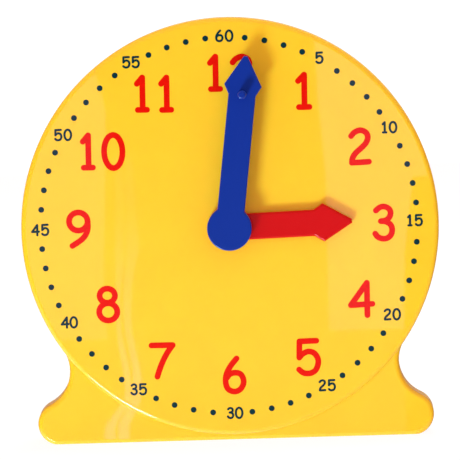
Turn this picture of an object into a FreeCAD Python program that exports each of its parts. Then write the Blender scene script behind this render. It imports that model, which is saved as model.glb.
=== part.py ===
import FreeCAD, Part

import math
import os

import Sketcher

# Geared teaching clock. Millimetres. X to the right, Z up, the dial looks along -Y.
# The origin is the middle of the flat underside. "Depth" is measured from the dial
# face towards the back. Turned and printed pieces are drawn in a local frame with
# local Z towards the dial side and local Y towards 12 o'clock.

VECTOR = FreeCAD.Vector
Z_AXIS = VECTOR(0, 0, 1)

# name, value, what it measures
SIZE_TABLE = [
    # case
    ("disc_radius", 51.05, "dial disc at the parting line"),
    ("disc_lift", 1.2, "lowest point of the disc above the surface the clock stands on"),
    ("foot_inset", 2.4, "the end of a foot lies this far inside the side of the disc"),
    ("front_depth", 9.0, "front shell, from the dial face to the parting line of the two shells"),
    ("rear_room", 1.35, "end of the arbor to the inside of the back"),
    ("foot_radius", 5.4, "rounded end of a foot"),
    ("neck_radius", 9.2, "hollow between the disc and a foot"),
    ("neck_overlap", 0.03, "the foot's hollow runs this far into the disc"),
    ("skin_below", 0.4, "drafted skins run this far below the underside before it is cut flat"),
    ("front_draft", 1.3, "degrees, front shell side walls"),
    ("back_draft", 8.0, "degrees, back cover side walls"),
    ("wall", 2.0, "shell thickness"),
    ("disc_step", 1.8, "the disc stands this far in front of the foot panel"),
    ("rim_radius", 1.2, "rounding of the front edges"),
    ("back_radius", 2.0, "rounding of the back edge"),
    ("panel_inset", 4.0, "the foot panel's own outline ends this far inside the disc"),
    ("cut_margin", 3.0, "a cut reaches this far past the piece it cuts"),
    ("lip_height", 1.5, "lip of the cover inside the front shell"),
    ("lip_clearance", 0.15, "gap round the lip"),
    ("rib_width", 1.2, "stiffening ribs"),
    ("rib_height", 1.2, "stiffening ribs above the inner face"),
    ("ring_rib_radius", 30.0, "round rib behind the dial"),
    ("radial_ribs", 8, "spokes round the pivot, in each shell"),
    ("spoke_start", 4.2, "spokes behind the dial start this far from the pivot, in its boss"),
    ("spoke_gap", 1.1, "spokes end this far inside the side wall"),
    # screws that hold the two shells together
    ("cover_screw_radius", 1.3, "shank"),
    ("cover_screw_length", 16.0, "under the head"),
    ("cover_head_radius", 2.6, "head"),
    ("cover_head_height", 1.8, "head"),
    ("head_clearance", 0.4, "round a screw head in its recess"),
    ("head_recess", 3.0, "depth of the recess in the back face"),
    ("cover_boss_radius", 4.6, "boss in the back cover"),
    ("column_radius", 3.4, "column in the front shell"),
    ("upper_screw_inset", 9.4, "upper screws inside the disc edge"),
    ("upper_screw_angle", 45.0, "degrees from 12 o'clock"),
    ("lower_screw_inset", 11.5, "lower screws inside the foot end"),
    ("lower_screw_height", 7.4, "lower screws above the underside"),
    ("hole_clearance", 0.2, "screw shank in a plain hole"),
    ("pilot_spare", 0.5, "a pilot hole is this much deeper than its screw"),
    ("hold_clearance", 0.02, "pieces pressed or screwed into one another"),
    # shape of every screw, as shares of its shank radius, head radius and head height
    ("screw_tip_share", 0.3, "flat end, of the shank radius"),
    ("screw_point_share", 1.2, "length of the point, of the shank radius"),
    ("screw_crown_share", 0.72, "flat top of the head, of the head radius"),
    ("screw_rim_share", 0.45, "straight side of the head, of the head height"),
    ("cross_width_share", 0.22, "width of a slot of the cross, of the head radius"),
    ("cross_span_share", 1.1, "length of a slot of the cross, of the head radius"),
    ("cross_depth_share", 0.6, "depth of the cross, of the head height"),
    # gear bridge and its screws
    ("bridge_thickness", 2.0, "plate"),
    ("bridge_boss_height", 1.6, "bearing bosses behind the plate"),
    ("bridge_boss_radius", 4.0, "bearing bosses"),
    ("bridge_ear_radius", 4.4, "rounded corners of the plate"),
    ("bridge_column_radius", 3.2, "columns that carry the plate"),
    ("bridge_screw_radius", 1.1, "shank"),
    ("bridge_screw_length", 8.0, "under the head"),
    ("bridge_head_radius", 2.1, "head"),
    ("bridge_head_height", 1.5, "head"),
    ("bridge_top_rise", 25.0, "upper bridge screw above the pivot"),
    ("bridge_low_spread", 22.0, "lower bridge screws to each side"),
    ("bridge_low_drop", 16.3, "lower bridge screws below the pin of the compound gear"),
    ("window_radius", 4.0, "lightening windows in the plate"),
    ("window_spread", 12.5, "lightening windows to each side"),
    ("window_drop", 8.3, "lightening windows below the pin of the compound gear"),
    # gear train: minute pinion, compound wheel and pinion, hour wheel
    ("gear_module", 0.8, "hour stage; the minute stage takes the same centre distance"),
    ("pressure_angle", 20.0, "degrees"),
    ("addendum_share", 0.75, "tooth above the pitch circle, in modules"),
    ("dedendum_share", 1.0, "tooth below the pitch circle, in modules"),
    ("backlash", 0.14, "play between two flanks at the pitch circle"),
    ("minute_pinion_teeth", 15, "on the arbor"),
    ("compound_wheel_teeth", 45, "driven by the minute pinion"),
    ("compound_pinion_teeth", 12, "drives the hour wheel"),
    ("hour_wheel_teeth", 48, "on the pipe"),
    ("hour_gear_width", 4.0, "hour wheel"),
    ("compound_gear_width", 4.0, "compound wheel"),
    ("mesh_margin", 0.2, "a pinion is wider than its wheel by this much at each side"),
    ("web_recess", 1.1, "the web of a wheel lies this far inside its faces"),
    ("gear_rim_width", 2.6, "solid rim inside the teeth"),
    ("gear_hub_radius", 5.2, "hub of both wheels"),
    ("web_holes", 6, "holes in the web of both wheels"),
    ("hour_hole_radius", 2.6, "holes in the web of the hour wheel"),
    ("compound_hole_radius", 2.2, "holes in the web of the compound wheel"),
    # shafts and washers
    ("arbor_radius", 1.5, "steel arbor of the minute hand"),
    ("arbor_flat", 1.1, "flat of the arbor from its axis"),
    ("pipe_radius", 3.0, "pipe of the hour wheel"),
    ("pipe_flat", 2.5, "two flats of the pipe from its axis"),
    ("pin_radius", 1.5, "steel pin of the compound gear"),
    ("pin_chamfer", 0.25, "ends of the pin and the arbor"),
    ("running_clearance", 0.06, "round a shaft that turns"),
    ("axial_play", 0.1, "between two pieces on one shaft"),
    ("washer_thickness", 0.4, "thrust washers"),
    ("thrust_washer_radius", 4.4, "washer between the dial boss and the hour wheel"),
    ("spacer_radius", 3.4, "washer between the hour wheel and the minute pinion"),
    ("pin_washer_radius", 3.2, "washers of the compound gear"),
    ("front_boss_height", 3.0, "pivot boss behind the dial"),
    ("front_boss_radius", 5.0, "pivot boss behind the dial"),
    ("pin_boss_radius", 3.6, "socket boss of the pin"),
    ("spring_radius", 3.6, "bowed spring washer"),
    ("spring_thickness", 0.25, "bowed spring washer"),
    ("spring_bow", 0.5, "how far its middle stands off its ends"),
    ("spring_blank_margin", 0.4, "its strip is this much larger before it is cut round"),
    ("ring_radius", 3.3, "push-on ring at the back end of the arbor"),
    ("ring_thickness", 0.4, "push-on ring"),
    ("ring_slot_width", 0.7, "slots between its teeth"),
    ("ring_slot_reach", 2.3, "slots from the arbor's axis"),
    ("ring_slots", 6, "slots in the push-on ring"),
    ("arbor_tail", 0.7, "the arbor stands this far behind the ring"),
    # hands
    ("minute_angle", 7.2, "degrees clockwise from 12 o'clock"),
    ("hour_angle", 88.6, "degrees clockwise from 12 o'clock"),
    ("hand_hub_radius", 5.4, "round end of both hands"),
    ("hour_gap", 0.6, "dial to the underside of the hour hand"),
    ("hour_thickness", 1.6, "hour hand"),
    ("hour_half_width", 3.2, "bar of the hour hand"),
    ("hour_notch", 20.5, "pivot to the back of the arrowhead"),
    ("hour_barb", 22.8, "pivot to the widest place of the arrowhead"),
    ("hour_barb_half", 4.65, "half the arrowhead's width"),
    ("hour_reach", 29.75, "pivot to the tip"),
    ("hour_bevel", 0.6, "rounding of the upper edges"),
    ("hour_boss_radius", 4.2, "boss on the hour hand round the pipe"),
    ("hour_boss_height", 1.0, "boss on the hour hand"),
    ("hub_gap", 0.15, "between the two hands' hubs"),
    ("minute_hub_depth", 2.6, "hub of the minute hand"),
    ("minute_thickness", 1.8, "minute hand"),
    ("minute_half_width", 3.3, "bar of the minute hand"),
    ("minute_notch", 32.4, "pivot to the back of the arrowhead"),
    ("minute_barb", 34.7, "pivot to the widest place of the arrowhead"),
    ("minute_barb_half", 4.55, "half the arrowhead's width"),
    ("minute_reach", 41.8, "pivot to the tip"),
    ("minute_bevel", 0.35, "rounding of the upper edges"),
    ("tip_half_width", 0.45, "both tips are cut off this wide"),
    ("minute_skin", 0.6, "plastic in front of the arbor"),
    ("peg_radius", 1.0, "finger peg on the minute hand"),
    ("peg_height", 3.8, "finger peg above the hand"),
    ("peg_distance", 32.5, "pivot to the peg"),
    ("peg_rounding", 0.55, "end of the peg"),
]


# %% Sizes as numbers that remember where they came from


class Size:
    """A number and the expression in the sheet that gives it."""

    def __init__(self, value, text):
        self.value = float(value)
        self.text = text

    def __add__(self, other):
        other = as_size(other)
        return Size(self.value + other.value, f"({self.text} + {other.text})")

    def __sub__(self, other):
        other = as_size(other)
        return Size(self.value - other.value, f"({self.text} - {other.text})")

    def __mul__(self, other):
        other = as_size(other)
        return Size(self.value * other.value, f"({self.text} * {other.text})")

    def __truediv__(self, other):
        other = as_size(other)
        return Size(self.value / other.value, f"({self.text} / {other.text})")

    def __neg__(self):
        return Size(-self.value, f"(0 - {self.text})")

    __radd__ = __add__
    __rmul__ = __mul__


def as_size(number):
    if isinstance(number, Size):
        return number
    return Size(number, repr(float(number)))


def sine(angle):
    return Size(math.sin(math.radians(angle.value)), f"sin({angle.text} * 1 deg)")


def cosine(angle):
    return Size(math.cos(math.radians(angle.value)), f"cos({angle.text} * 1 deg)")


def tangent(angle):
    return Size(math.tan(math.radians(angle.value)), f"tan({angle.text} * 1 deg)")


class SizeSheet:
    """The spreadsheet of driving dimensions; an attribute is the size of that name."""

    def __init__(self, document, table):
        self.sheet = document.addObject("Spreadsheet::Sheet", "Sizes")
        self.sizes = {}
        for row, (alias, value, meaning) in enumerate(table, start=1):
            self.sheet.set(f"A{row}", alias)
            self.sheet.set(f"B{row}", str(value))
            self.sheet.set(f"C{row}", meaning)
            self.sheet.setAlias(f"B{row}", alias)
            self.sizes[alias] = Size(value, f"Sizes.{alias}")

    def __getattr__(self, alias):
        return self.sizes[alias]


document = FreeCAD.newDocument("TeachingClock")
sizes = SizeSheet(document, SIZE_TABLE)
document.recompute()
ZERO = as_size(0)


def bind(target, prop, size):
    """Tie a property to the sheet."""
    target.setExpression(prop, as_size(size).text)


# %% Places that several pieces share. Depths are measured behind the dial face: the
# gear train is stacked up from it, and the case is as deep as the train needs

centre_distance = (sizes.hour_wheel_teeth + sizes.compound_pinion_teeth) * sizes.gear_module / 2
minute_module = centre_distance * 2 / (sizes.minute_pinion_teeth + sizes.compound_wheel_teeth)
pivot_height = sizes.disc_radius + sizes.disc_lift
compound_height = pivot_height - centre_distance
foot_half_width = sizes.disc_radius - sizes.foot_inset

front_boss_end = sizes.wall + sizes.front_boss_height
thrust_washer_depth = front_boss_end + sizes.axial_play
hour_wheel_depth = thrust_washer_depth + sizes.washer_thickness + sizes.axial_play
hour_wheel_end = hour_wheel_depth + sizes.hour_gear_width
spacer_depth = hour_wheel_end + sizes.axial_play
minute_pinion_depth = spacer_depth + sizes.washer_thickness + sizes.axial_play
compound_wheel_depth = minute_pinion_depth + sizes.mesh_margin * 2
compound_wheel_end = compound_wheel_depth + sizes.compound_gear_width
minute_pinion_end = compound_wheel_end + sizes.mesh_margin * 2
spring_room = sizes.spring_bow + sizes.spring_thickness + sizes.axial_play
bridge_depth = minute_pinion_end + spring_room
bridge_end = bridge_depth + sizes.bridge_thickness
bridge_boss_end = bridge_end + sizes.bridge_boss_height
ring_depth = bridge_boss_end + sizes.axial_play
arbor_end = ring_depth + sizes.ring_thickness + sizes.arbor_tail
front_depth = sizes.front_depth
case_depth = arbor_end + sizes.rear_room + sizes.wall
compound_depth = hour_wheel_depth - sizes.mesh_margin
front_pin_washer_depth = compound_depth - sizes.axial_play - sizes.washer_thickness
pin_boss_end = front_pin_washer_depth - sizes.axial_play
back_pin_washer_depth = bridge_depth - sizes.axial_play - sizes.washer_thickness
compound_end = back_pin_washer_depth - sizes.axial_play

# heights in front of the dial face
hour_hand_top = sizes.hour_gap + sizes.hour_thickness
pipe_top = hour_hand_top + sizes.hour_boss_height
minute_hub_bottom = pipe_top + sizes.hub_gap
minute_hand_top = minute_hub_bottom + sizes.minute_hub_depth
arbor_top = minute_hand_top - sizes.minute_skin - sizes.axial_play

upper_ring = sizes.disc_radius - sizes.upper_screw_inset
upper_screw_x = upper_ring * sine(sizes.upper_screw_angle)
upper_screw_z = pivot_height + upper_ring * cosine(sizes.upper_screw_angle)
lower_screw_x = foot_half_width - sizes.lower_screw_inset
UPPER_SCREWS = [(upper_screw_x, upper_screw_z), (-upper_screw_x, upper_screw_z)]
LOWER_SCREWS = [
    (lower_screw_x, sizes.lower_screw_height),
    (-lower_screw_x, sizes.lower_screw_height),
]
BRIDGE_SCREWS = [
    (ZERO, pivot_height + sizes.bridge_top_rise),
    (sizes.bridge_low_spread, compound_height - sizes.bridge_low_drop),
    (-sizes.bridge_low_spread, compound_height - sizes.bridge_low_drop),
]


# %% Drawing helpers


def add_body(name):
    body = document.addObject("PartDesign::Body", name)
    body.Label = name
    return body


def place_on_axis(target, height, front_height, angle=None, across=ZERO):
    """Put a local frame in front of the dial: local Z to the viewer, local Y up.

    front_height is how far the local origin stands in front of the dial face, and
    angle turns the piece clockwise.
    """
    depth = case_depth / -2 - front_height
    turn = as_size(angle if angle is not None else 0)
    target.setExpression(
        "Placement",
        f"placement(vector({across.text}; {depth.text}; {height.text}); "
        f"rotation(vector(1; 0; 0); 90) * rotation(vector(0; 0; 1); 0 - {turn.text}))",
    )


def origin_plane(body, role):
    for feature in body.Origin.OriginFeatures:
        if feature.Role == role:
            return feature
    raise ValueError(role)


def add_sketch(body, name, role="XY_Plane", across=ZERO, up=ZERO, out=ZERO, turn=None):
    """A sketch on one of the body's own planes, moved within and out of that plane."""
    sketch = body.newObject("Sketcher::SketchObject", name)
    sketch.AttachmentSupport = [(origin_plane(body, role), "")]
    sketch.MapMode = "FlatFace"
    angle = as_size(turn if turn is not None else 0)
    sketch.setExpression(
        "AttachmentOffset",
        f"placement(vector({across.text}; {up.text}; {out.text}); "
        f"rotation(vector(0; 0; 1); {angle.text}))",
    )
    return sketch


def shell_sketch(body, name, depth):
    """A sketch in a plane parallel to the dial: across is X, up is Z, out is -Y."""
    return add_sketch(body, name, "XZ_Plane", out=case_depth / 2 - depth)


def dimension(sketch, kind, *arguments):
    """Add a constraint whose last argument is a Size, and tie it to the sheet."""
    size = arguments[-1]
    index = sketch.addConstraint(Sketcher.Constraint(kind, *arguments[:-1], size.value))
    label = f"{kind.lower()}_{index}"
    sketch.renameConstraint(index, label)
    bind(sketch, f"Constraints.{label}", size)


def pin_point(sketch, geometry, position, x, y):
    """Fix a point of a geometry at x, y."""
    if x.text == ZERO.text:
        sketch.addConstraint(Sketcher.Constraint("PointOnObject", geometry, position, -2))
    else:
        dimension(sketch, "DistanceX", -1, 1, geometry, position, x)
    if y.text == ZERO.text:
        sketch.addConstraint(Sketcher.Constraint("PointOnObject", geometry, position, -1))
    else:
        dimension(sketch, "DistanceY", -1, 1, geometry, position, y)


def draw_circle(sketch, radius, x=ZERO, y=ZERO):
    circle = Part.Circle(VECTOR(x.value, y.value, 0), Z_AXIS, radius.value)
    index = sketch.addGeometry(circle, False)
    pin_point(sketch, index, 3, x, y)
    dimension(sketch, "Radius", index, radius)
    return index


def draw_polygon(sketch, points):
    """A closed outline of straight lines through points given as sizes."""
    count = len(points)
    first = sketch.GeometryCount
    for start, end in zip(points, points[1:] + points[:1]):
        line = Part.LineSegment(
            VECTOR(start[0].value, start[1].value, 0), VECTOR(end[0].value, end[1].value, 0)
        )
        sketch.addGeometry(line, False)
    for step in range(count):
        following = first + (step + 1) % count
        sketch.addConstraint(Sketcher.Constraint("Coincident", first + step, 2, following, 1))
    for step, (x, y) in enumerate(points):
        pin_point(sketch, first + step, 1, x, y)


def draw_box(sketch, left, right, low, high):
    draw_polygon(sketch, [(left, low), (right, low), (right, high), (left, high)])


def add_arc(sketch, centre, radius, start, end):
    """An anticlockwise arc from one point to another, both VECTORs."""
    circle = Part.Circle(centre, Z_AXIS, radius)
    first = math.atan2(start.y - centre.y, start.x - centre.x)
    last = math.atan2(end.y - centre.y, end.x - centre.x)
    if last < first:
        last += 2 * math.pi
    return sketch.addGeometry(Part.ArcOfCircle(circle, first, last), False)


def add_line(sketch, start, end):
    return sketch.addGeometry(Part.LineSegment(start, end), False)


def extrude(body, kind, name, sketch, length, reverse=False, taper=None):
    feature = body.newObject(f"PartDesign::{kind}", name)
    feature.Profile = sketch
    bind(feature, "Length", length)
    feature.Reversed = reverse
    if taper is not None:
        bind(feature, "TaperAngle", taper)
    return feature


def cut_through(body, name, sketch):
    feature = body.newObject("PartDesign::Pocket", name)
    feature.Profile = sketch
    feature.Type = "ThroughAll"
    feature.Midplane = True
    return feature


def turn_round(body, kind, name, sketch, axis="H_Axis"):
    """A full revolution about one of the sketch's own axes."""
    feature = body.newObject(f"PartDesign::{kind}", name)
    feature.Profile = sketch
    feature.ReferenceAxis = (sketch, [axis])
    feature.Angle = 360
    return feature


def copy_round(body, name, feature, sketch, count):
    """Repeat a feature about the local Z axis of its sketch."""
    pattern = body.newObject("PartDesign::PolarPattern", name)
    pattern.Originals = [feature]
    pattern.Axis = (sketch, ["N_Axis"])
    pattern.Angle = 360
    bind(pattern, "Occurrences", count)
    body.Tip = pattern
    return pattern


def edges_where(shape, test):
    return [f"Edge{index}" for index, edge in enumerate(shape.Edges, start=1) if test(edge)]


def round_edges(body, name, base, test, radius):
    """Fillet the edges of the feature base that pass the test."""
    document.recompute()
    fillet = body.newObject("PartDesign::Fillet", name)
    fillet.Base = (base, edges_where(base.Shape, test))
    bind(fillet, "Radius", radius)
    body.Tip = fillet
    return fillet


def lies_at(edge, axis, place, tolerance=1e-4):
    """True for an edge that lies wholly at one coordinate along the axis x, y or z."""
    box = edge.BoundBox
    low, high = {"x": (box.XMin, box.XMax), "y": (box.YMin, box.YMax), "z": (box.ZMin, box.ZMax)}[axis]
    return abs(low - place) < tolerance and abs(high - place) < tolerance


# %% The clock's outline: a disc on two feet, with a hollow between them at each side


def neck_centre(disc, neck, foot_x, foot_z, foot, overlap):
    """Centre of the hollow that touches the disc and the rounded end of the right foot."""
    start = VECTOR(0, pivot_height.value, 0)
    end = VECTOR(foot_x, foot_z, 0)
    apart = (end - start).Length
    from_disc = disc + neck - overlap
    from_foot = foot + neck
    along = (from_disc**2 - from_foot**2 + apart**2) / (2 * apart)
    aside = math.sqrt(from_disc**2 - along**2)
    direction = (end - start) / apart
    return start + direction * along + VECTOR(-direction.y, direction.x, 0) * aside


def draw_outline(sketch, grow, with_disc):
    """The outline at the parting line, grown by a size or shrunk by a negative one.

    With the disc it is the whole outline. Without it, it is the foot panel, which
    ends a little way inside the disc.
    """
    disc = sizes.disc_radius + grow
    neck = sizes.neck_radius - grow
    foot = sizes.foot_radius + grow
    foot_x = foot_half_width - sizes.foot_radius
    bottom = -sizes.skin_below - grow
    overlap = ZERO if with_disc else sizes.neck_overlap

    foot_z = bottom.value + foot.value
    pivot = VECTOR(0, pivot_height.value, 0)
    centre = neck_centre(disc.value, neck.value, foot_x.value, foot_z, foot.value, overlap.value)
    foot_centre = VECTOR(foot_x.value, foot_z, 0)
    inward = (pivot - centre) / (pivot - centre).Length
    top = centre + inward * neck.value
    waist = foot_centre + (centre - foot_centre) / (centre - foot_centre).Length * foot.value
    heel = VECTOR(foot_x.value, bottom.value, 0)

    def other(point):
        return VECTOR(-point.x, point.y, 0)

    bottom_line = add_line(sketch, other(heel), heel)
    right_foot = add_arc(sketch, foot_centre, foot.value, heel, waist)
    right_neck = add_arc(sketch, centre, neck.value, top, waist)
    left_foot = add_arc(sketch, other(foot_centre), foot.value, other(waist), other(heel))
    left_neck = add_arc(sketch, other(centre), neck.value, other(waist), other(top))

    def touch(first, first_end, second, second_end):
        sketch.addConstraint(
            Sketcher.Constraint("Tangent", first, first_end, second, second_end)
        )

    def join(first, first_end, second, second_end):
        sketch.addConstraint(
            Sketcher.Constraint("Coincident", first, first_end, second, second_end)
        )

    touch(bottom_line, 2, right_foot, 1)
    touch(right_foot, 2, right_neck, 2)
    touch(left_neck, 1, left_foot, 1)
    touch(left_foot, 2, bottom_line, 1)
    sketch.addConstraint(Sketcher.Constraint("Horizontal", bottom_line))
    dimension(sketch, "DistanceY", -1, 1, bottom_line, 1, bottom)
    for arc, x in ((right_foot, foot_x), (left_foot, -foot_x)):
        dimension(sketch, "Radius", arc, foot)
        dimension(sketch, "DistanceX", -1, 1, arc, 3, x)
    for arc in (right_neck, left_neck):
        dimension(sketch, "Radius", arc, neck)

    if with_disc:
        disc_arc = add_arc(sketch, pivot, disc.value, top, other(top))
        touch(right_neck, 1, disc_arc, 1)
        touch(disc_arc, 2, left_neck, 2)
        pin_point(sketch, disc_arc, 3, ZERO, pivot_height)
        dimension(sketch, "Radius", disc_arc, disc)
        return

    # the foot panel ends on short lines that point at the pivot, well inside the disc
    reach = sizes.panel_inset
    inner = top + inward * reach.value
    right_end = add_line(sketch, top, inner)
    across = add_line(sketch, inner, other(inner))
    left_end = add_line(sketch, other(inner), other(top))
    join(right_neck, 1, right_end, 1)
    join(right_end, 2, across, 1)
    join(across, 2, left_end, 1)
    join(left_end, 2, left_neck, 2)
    point = sketch.addGeometry(Part.Point(pivot), True)
    pin_point(sketch, point, 1, ZERO, pivot_height)
    for arc, line in ((right_neck, right_end), (left_neck, left_end)):
        dimension(sketch, "Distance", point, 1, arc, 3, disc + neck - overlap)
        sketch.addConstraint(Sketcher.Constraint("PointOnObject", point, 1, line))
        sketch.addConstraint(Sketcher.Constraint("PointOnObject", arc, 3, line))
        dimension(sketch, "Distance", line, 1, line, 2, reach)


def draw_disc_section(sketch, radius, depth_front):
    """Half section of the disc: local x is the way back, local y the radius."""
    front = depth_front - case_depth / 2
    back = front_depth - case_depth / 2
    narrow = radius - (front_depth - depth_front) * tangent(sizes.front_draft)
    draw_polygon(sketch, [(front, ZERO), (back, ZERO), (back, radius), (front, narrow)])


def cut_underside(body, name):
    """Cut everything below the surface that the clock stands on."""
    sketch = add_sketch(body, f"{name}_sketch", "XY_Plane")
    half = foot_half_width + sizes.cut_margin
    draw_box(sketch, -half, half, -case_depth, case_depth)
    return extrude(body, "Pocket", name, sketch, sizes.cut_margin)


def pad_back(body, name, start, end, draw):
    """A boss, column or rib between two depths, drawn in a plane parallel to the dial."""
    sketch = shell_sketch(body, f"{name}_sketch", start)
    draw(sketch)
    return extrude(body, "Pad", name, sketch, end - start, reverse=True)


def pocket_back(body, name, start, end, draw):
    """A hole between two depths, cut from the back end towards the dial."""
    sketch = shell_sketch(body, f"{name}_sketch", end)
    draw(sketch)
    return extrude(body, "Pocket", name, sketch, end - start, reverse=True)


def circles_at(radius, places):
    def draw(sketch):
        for x, z in places:
            draw_circle(sketch, radius, x, z)

    return draw


def draw_ring_rib(sketch):
    draw_circle(sketch, sizes.ring_rib_radius, ZERO, pivot_height)
    draw_circle(sketch, sizes.ring_rib_radius - sizes.rib_width, ZERO, pivot_height)


def add_spokes(body, name, first_radius, start, end):
    """Radial ribs round the pivot, from first_radius to just inside the side wall."""
    sketch = add_sketch(
        body, f"{name}_sketch", "XZ_Plane", up=pivot_height,
        out=case_depth / 2 - start,
    )
    half_rib = sizes.rib_width / 2
    last_radius = sizes.disc_radius - sizes.wall - sizes.spoke_gap
    draw_box(sketch, -half_rib, half_rib, first_radius, last_radius)
    spoke = extrude(body, "Pad", f"{name}_first", sketch, end - start, reverse=True)
    document.recompute()
    copy_round(body, name, spoke, sketch, sizes.radial_ribs)


# %% Front shell


def make_front_housing():
    body = add_body("front_housing")
    panel_depth = sizes.disc_step

    panel_sketch = shell_sketch(body, "panel_outline", front_depth)
    draw_outline(panel_sketch, ZERO, with_disc=False)
    panel = extrude(
        body, "Pad", "foot_panel", panel_sketch, front_depth - panel_depth,
        taper=-sizes.front_draft,
    )
    panel_y = (panel_depth - case_depth / 2).value
    inside = (sizes.disc_radius - sizes.wall).value

    def on_front_outline(edge):
        middle = edge.valueAt((edge.FirstParameter + edge.LastParameter) / 2)
        from_pivot = math.hypot(middle.x, middle.z - pivot_height.value)
        return lies_at(edge, "y", panel_y) and from_pivot > inside

    round_edges(body, "panel_rounding", panel, on_front_outline, sizes.rim_radius)

    disc_sketch = add_sketch(body, "disc_section", "YZ_Plane", up=pivot_height)
    draw_disc_section(disc_sketch, sizes.disc_radius, ZERO)
    disc = turn_round(body, "Revolution", "dial_disc", disc_sketch)
    face_y = (case_depth / -2).value
    round_edges(
        body, "rim_rounding", disc, lambda edge: lies_at(edge, "y", face_y), sizes.rim_radius
    )

    cavity_sketch = shell_sketch(body, "panel_cavity_outline", front_depth)
    draw_outline(cavity_sketch, -sizes.wall, with_disc=False)
    extrude(
        body, "Pocket", "panel_cavity", cavity_sketch,
        front_depth - panel_depth - sizes.wall, reverse=True, taper=-sizes.front_draft,
    )
    hollow_sketch = add_sketch(body, "disc_cavity_section", "YZ_Plane", up=pivot_height)
    draw_disc_section(hollow_sketch, sizes.disc_radius - sizes.wall, sizes.wall)
    turn_round(body, "Groove", "disc_cavity", hollow_sketch)
    cut_underside(body, "underside")

    # ribs behind the dial; ribs, bosses and columns start in the middle of the wall
    rib_start = sizes.wall / 2
    rib_end = sizes.wall + sizes.rib_height
    pad_back(body, "ring_rib", rib_start, rib_end, draw_ring_rib)
    add_spokes(body, "spokes", sizes.spoke_start, rib_start, rib_end)

    # bosses and columns
    pivot = [(ZERO, pivot_height)]
    compound = [(ZERO, compound_height)]
    pad_back(
        body, "pivot_boss", rib_start, front_boss_end, circles_at(sizes.front_boss_radius, pivot)
    )
    pad_back(body, "pin_boss", rib_start, pin_boss_end, circles_at(sizes.pin_boss_radius, compound))
    pad_back(
        body, "bridge_columns", rib_start, bridge_depth,
        circles_at(sizes.bridge_column_radius, BRIDGE_SCREWS),
    )
    pad_back(
        body, "upper_columns", rib_start, front_depth,
        circles_at(sizes.column_radius, UPPER_SCREWS),
    )
    pad_back(
        body, "lower_columns", panel_depth + rib_start, front_depth,
        circles_at(sizes.column_radius, LOWER_SCREWS),
    )

    # bores
    bore_sketch = shell_sketch(body, "pivot_bore_sketch", ZERO)
    draw_circle(bore_sketch, sizes.pipe_radius + sizes.running_clearance, *pivot[0])
    cut_through(body, "pivot_bore", bore_sketch)
    pocket_back(
        body, "pin_socket", sizes.wall, pin_boss_end,
        circles_at(sizes.pin_radius + sizes.hold_clearance, compound),
    )
    pocket_back(
        body, "bridge_pilots", bridge_end - sizes.bridge_screw_length - sizes.pilot_spare,
        bridge_depth,
        circles_at(sizes.bridge_screw_radius + sizes.hold_clearance, BRIDGE_SCREWS),
    )
    seat = case_depth - sizes.head_recess
    pocket_back(
        body, "cover_pilots", seat - sizes.cover_screw_length - sizes.pilot_spare,
        front_depth,
        circles_at(sizes.cover_screw_radius + sizes.hold_clearance, UPPER_SCREWS + LOWER_SCREWS),
    )

    # rebate that takes the lip of the cover: the outline less the inside of the lip
    def draw_rebate(sketch):
        draw_outline(sketch, sizes.wall / -2, with_disc=True)
        draw_outline(sketch, -(sizes.wall + sizes.lip_clearance), with_disc=True)

    rebate_depth = front_depth - sizes.lip_height - sizes.lip_clearance
    pocket_back(body, "lip_rebate", rebate_depth, front_depth, draw_rebate)
    return body


# %% Back cover


def make_back_cover():
    body = add_body("back_cover")
    depth = case_depth - front_depth

    shell_outline = shell_sketch(body, "cover_outline", front_depth)
    draw_outline(shell_outline, ZERO, with_disc=True)
    shell = extrude(
        body, "Pad", "cover_shell", shell_outline, depth, reverse=True, taper=-sizes.back_draft
    )
    back_y = (case_depth / 2).value
    round_edges(
        body, "back_rounding", shell, lambda edge: lies_at(edge, "y", back_y), sizes.back_radius
    )
    cavity_outline = shell_sketch(body, "cover_cavity_outline", front_depth)
    draw_outline(cavity_outline, -sizes.wall, with_disc=True)
    extrude(
        body, "Pocket", "cover_cavity", cavity_outline, depth - sizes.wall,
        taper=-sizes.back_draft,
    )
    cut_underside(body, "cover_underside")

    lip_sketch = shell_sketch(body, "lip_sketch", front_depth)
    draw_outline(lip_sketch, -(sizes.wall / 2 + sizes.lip_clearance), with_disc=True)
    draw_outline(lip_sketch, -sizes.wall, with_disc=True)
    extrude(body, "Pad", "lip", lip_sketch, sizes.lip_height)

    # ribs inside the back; the spokes start in the middle of the ring
    inner = case_depth - sizes.wall
    rib_start = inner - sizes.rib_height
    rib_end = inner + sizes.wall / 2
    pad_back(body, "cover_ring_rib", rib_start, rib_end, draw_ring_rib)
    mid_ring = sizes.ring_rib_radius - sizes.rib_width / 2
    add_spokes(body, "cover_spokes", mid_ring, rib_start, rib_end)

    screws = UPPER_SCREWS + LOWER_SCREWS
    pad_back(
        body, "cover_bosses", front_depth, rib_end, circles_at(sizes.cover_boss_radius, screws)
    )
    seat = case_depth - sizes.head_recess
    pocket_back(
        body, "head_recesses", seat, case_depth,
        circles_at(sizes.cover_head_radius + sizes.head_clearance, screws),
    )
    pocket_back(
        body, "screw_holes", front_depth, seat,
        circles_at(sizes.cover_screw_radius + sizes.hole_clearance, screws),
    )
    return body


# %% Gear bridge


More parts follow.
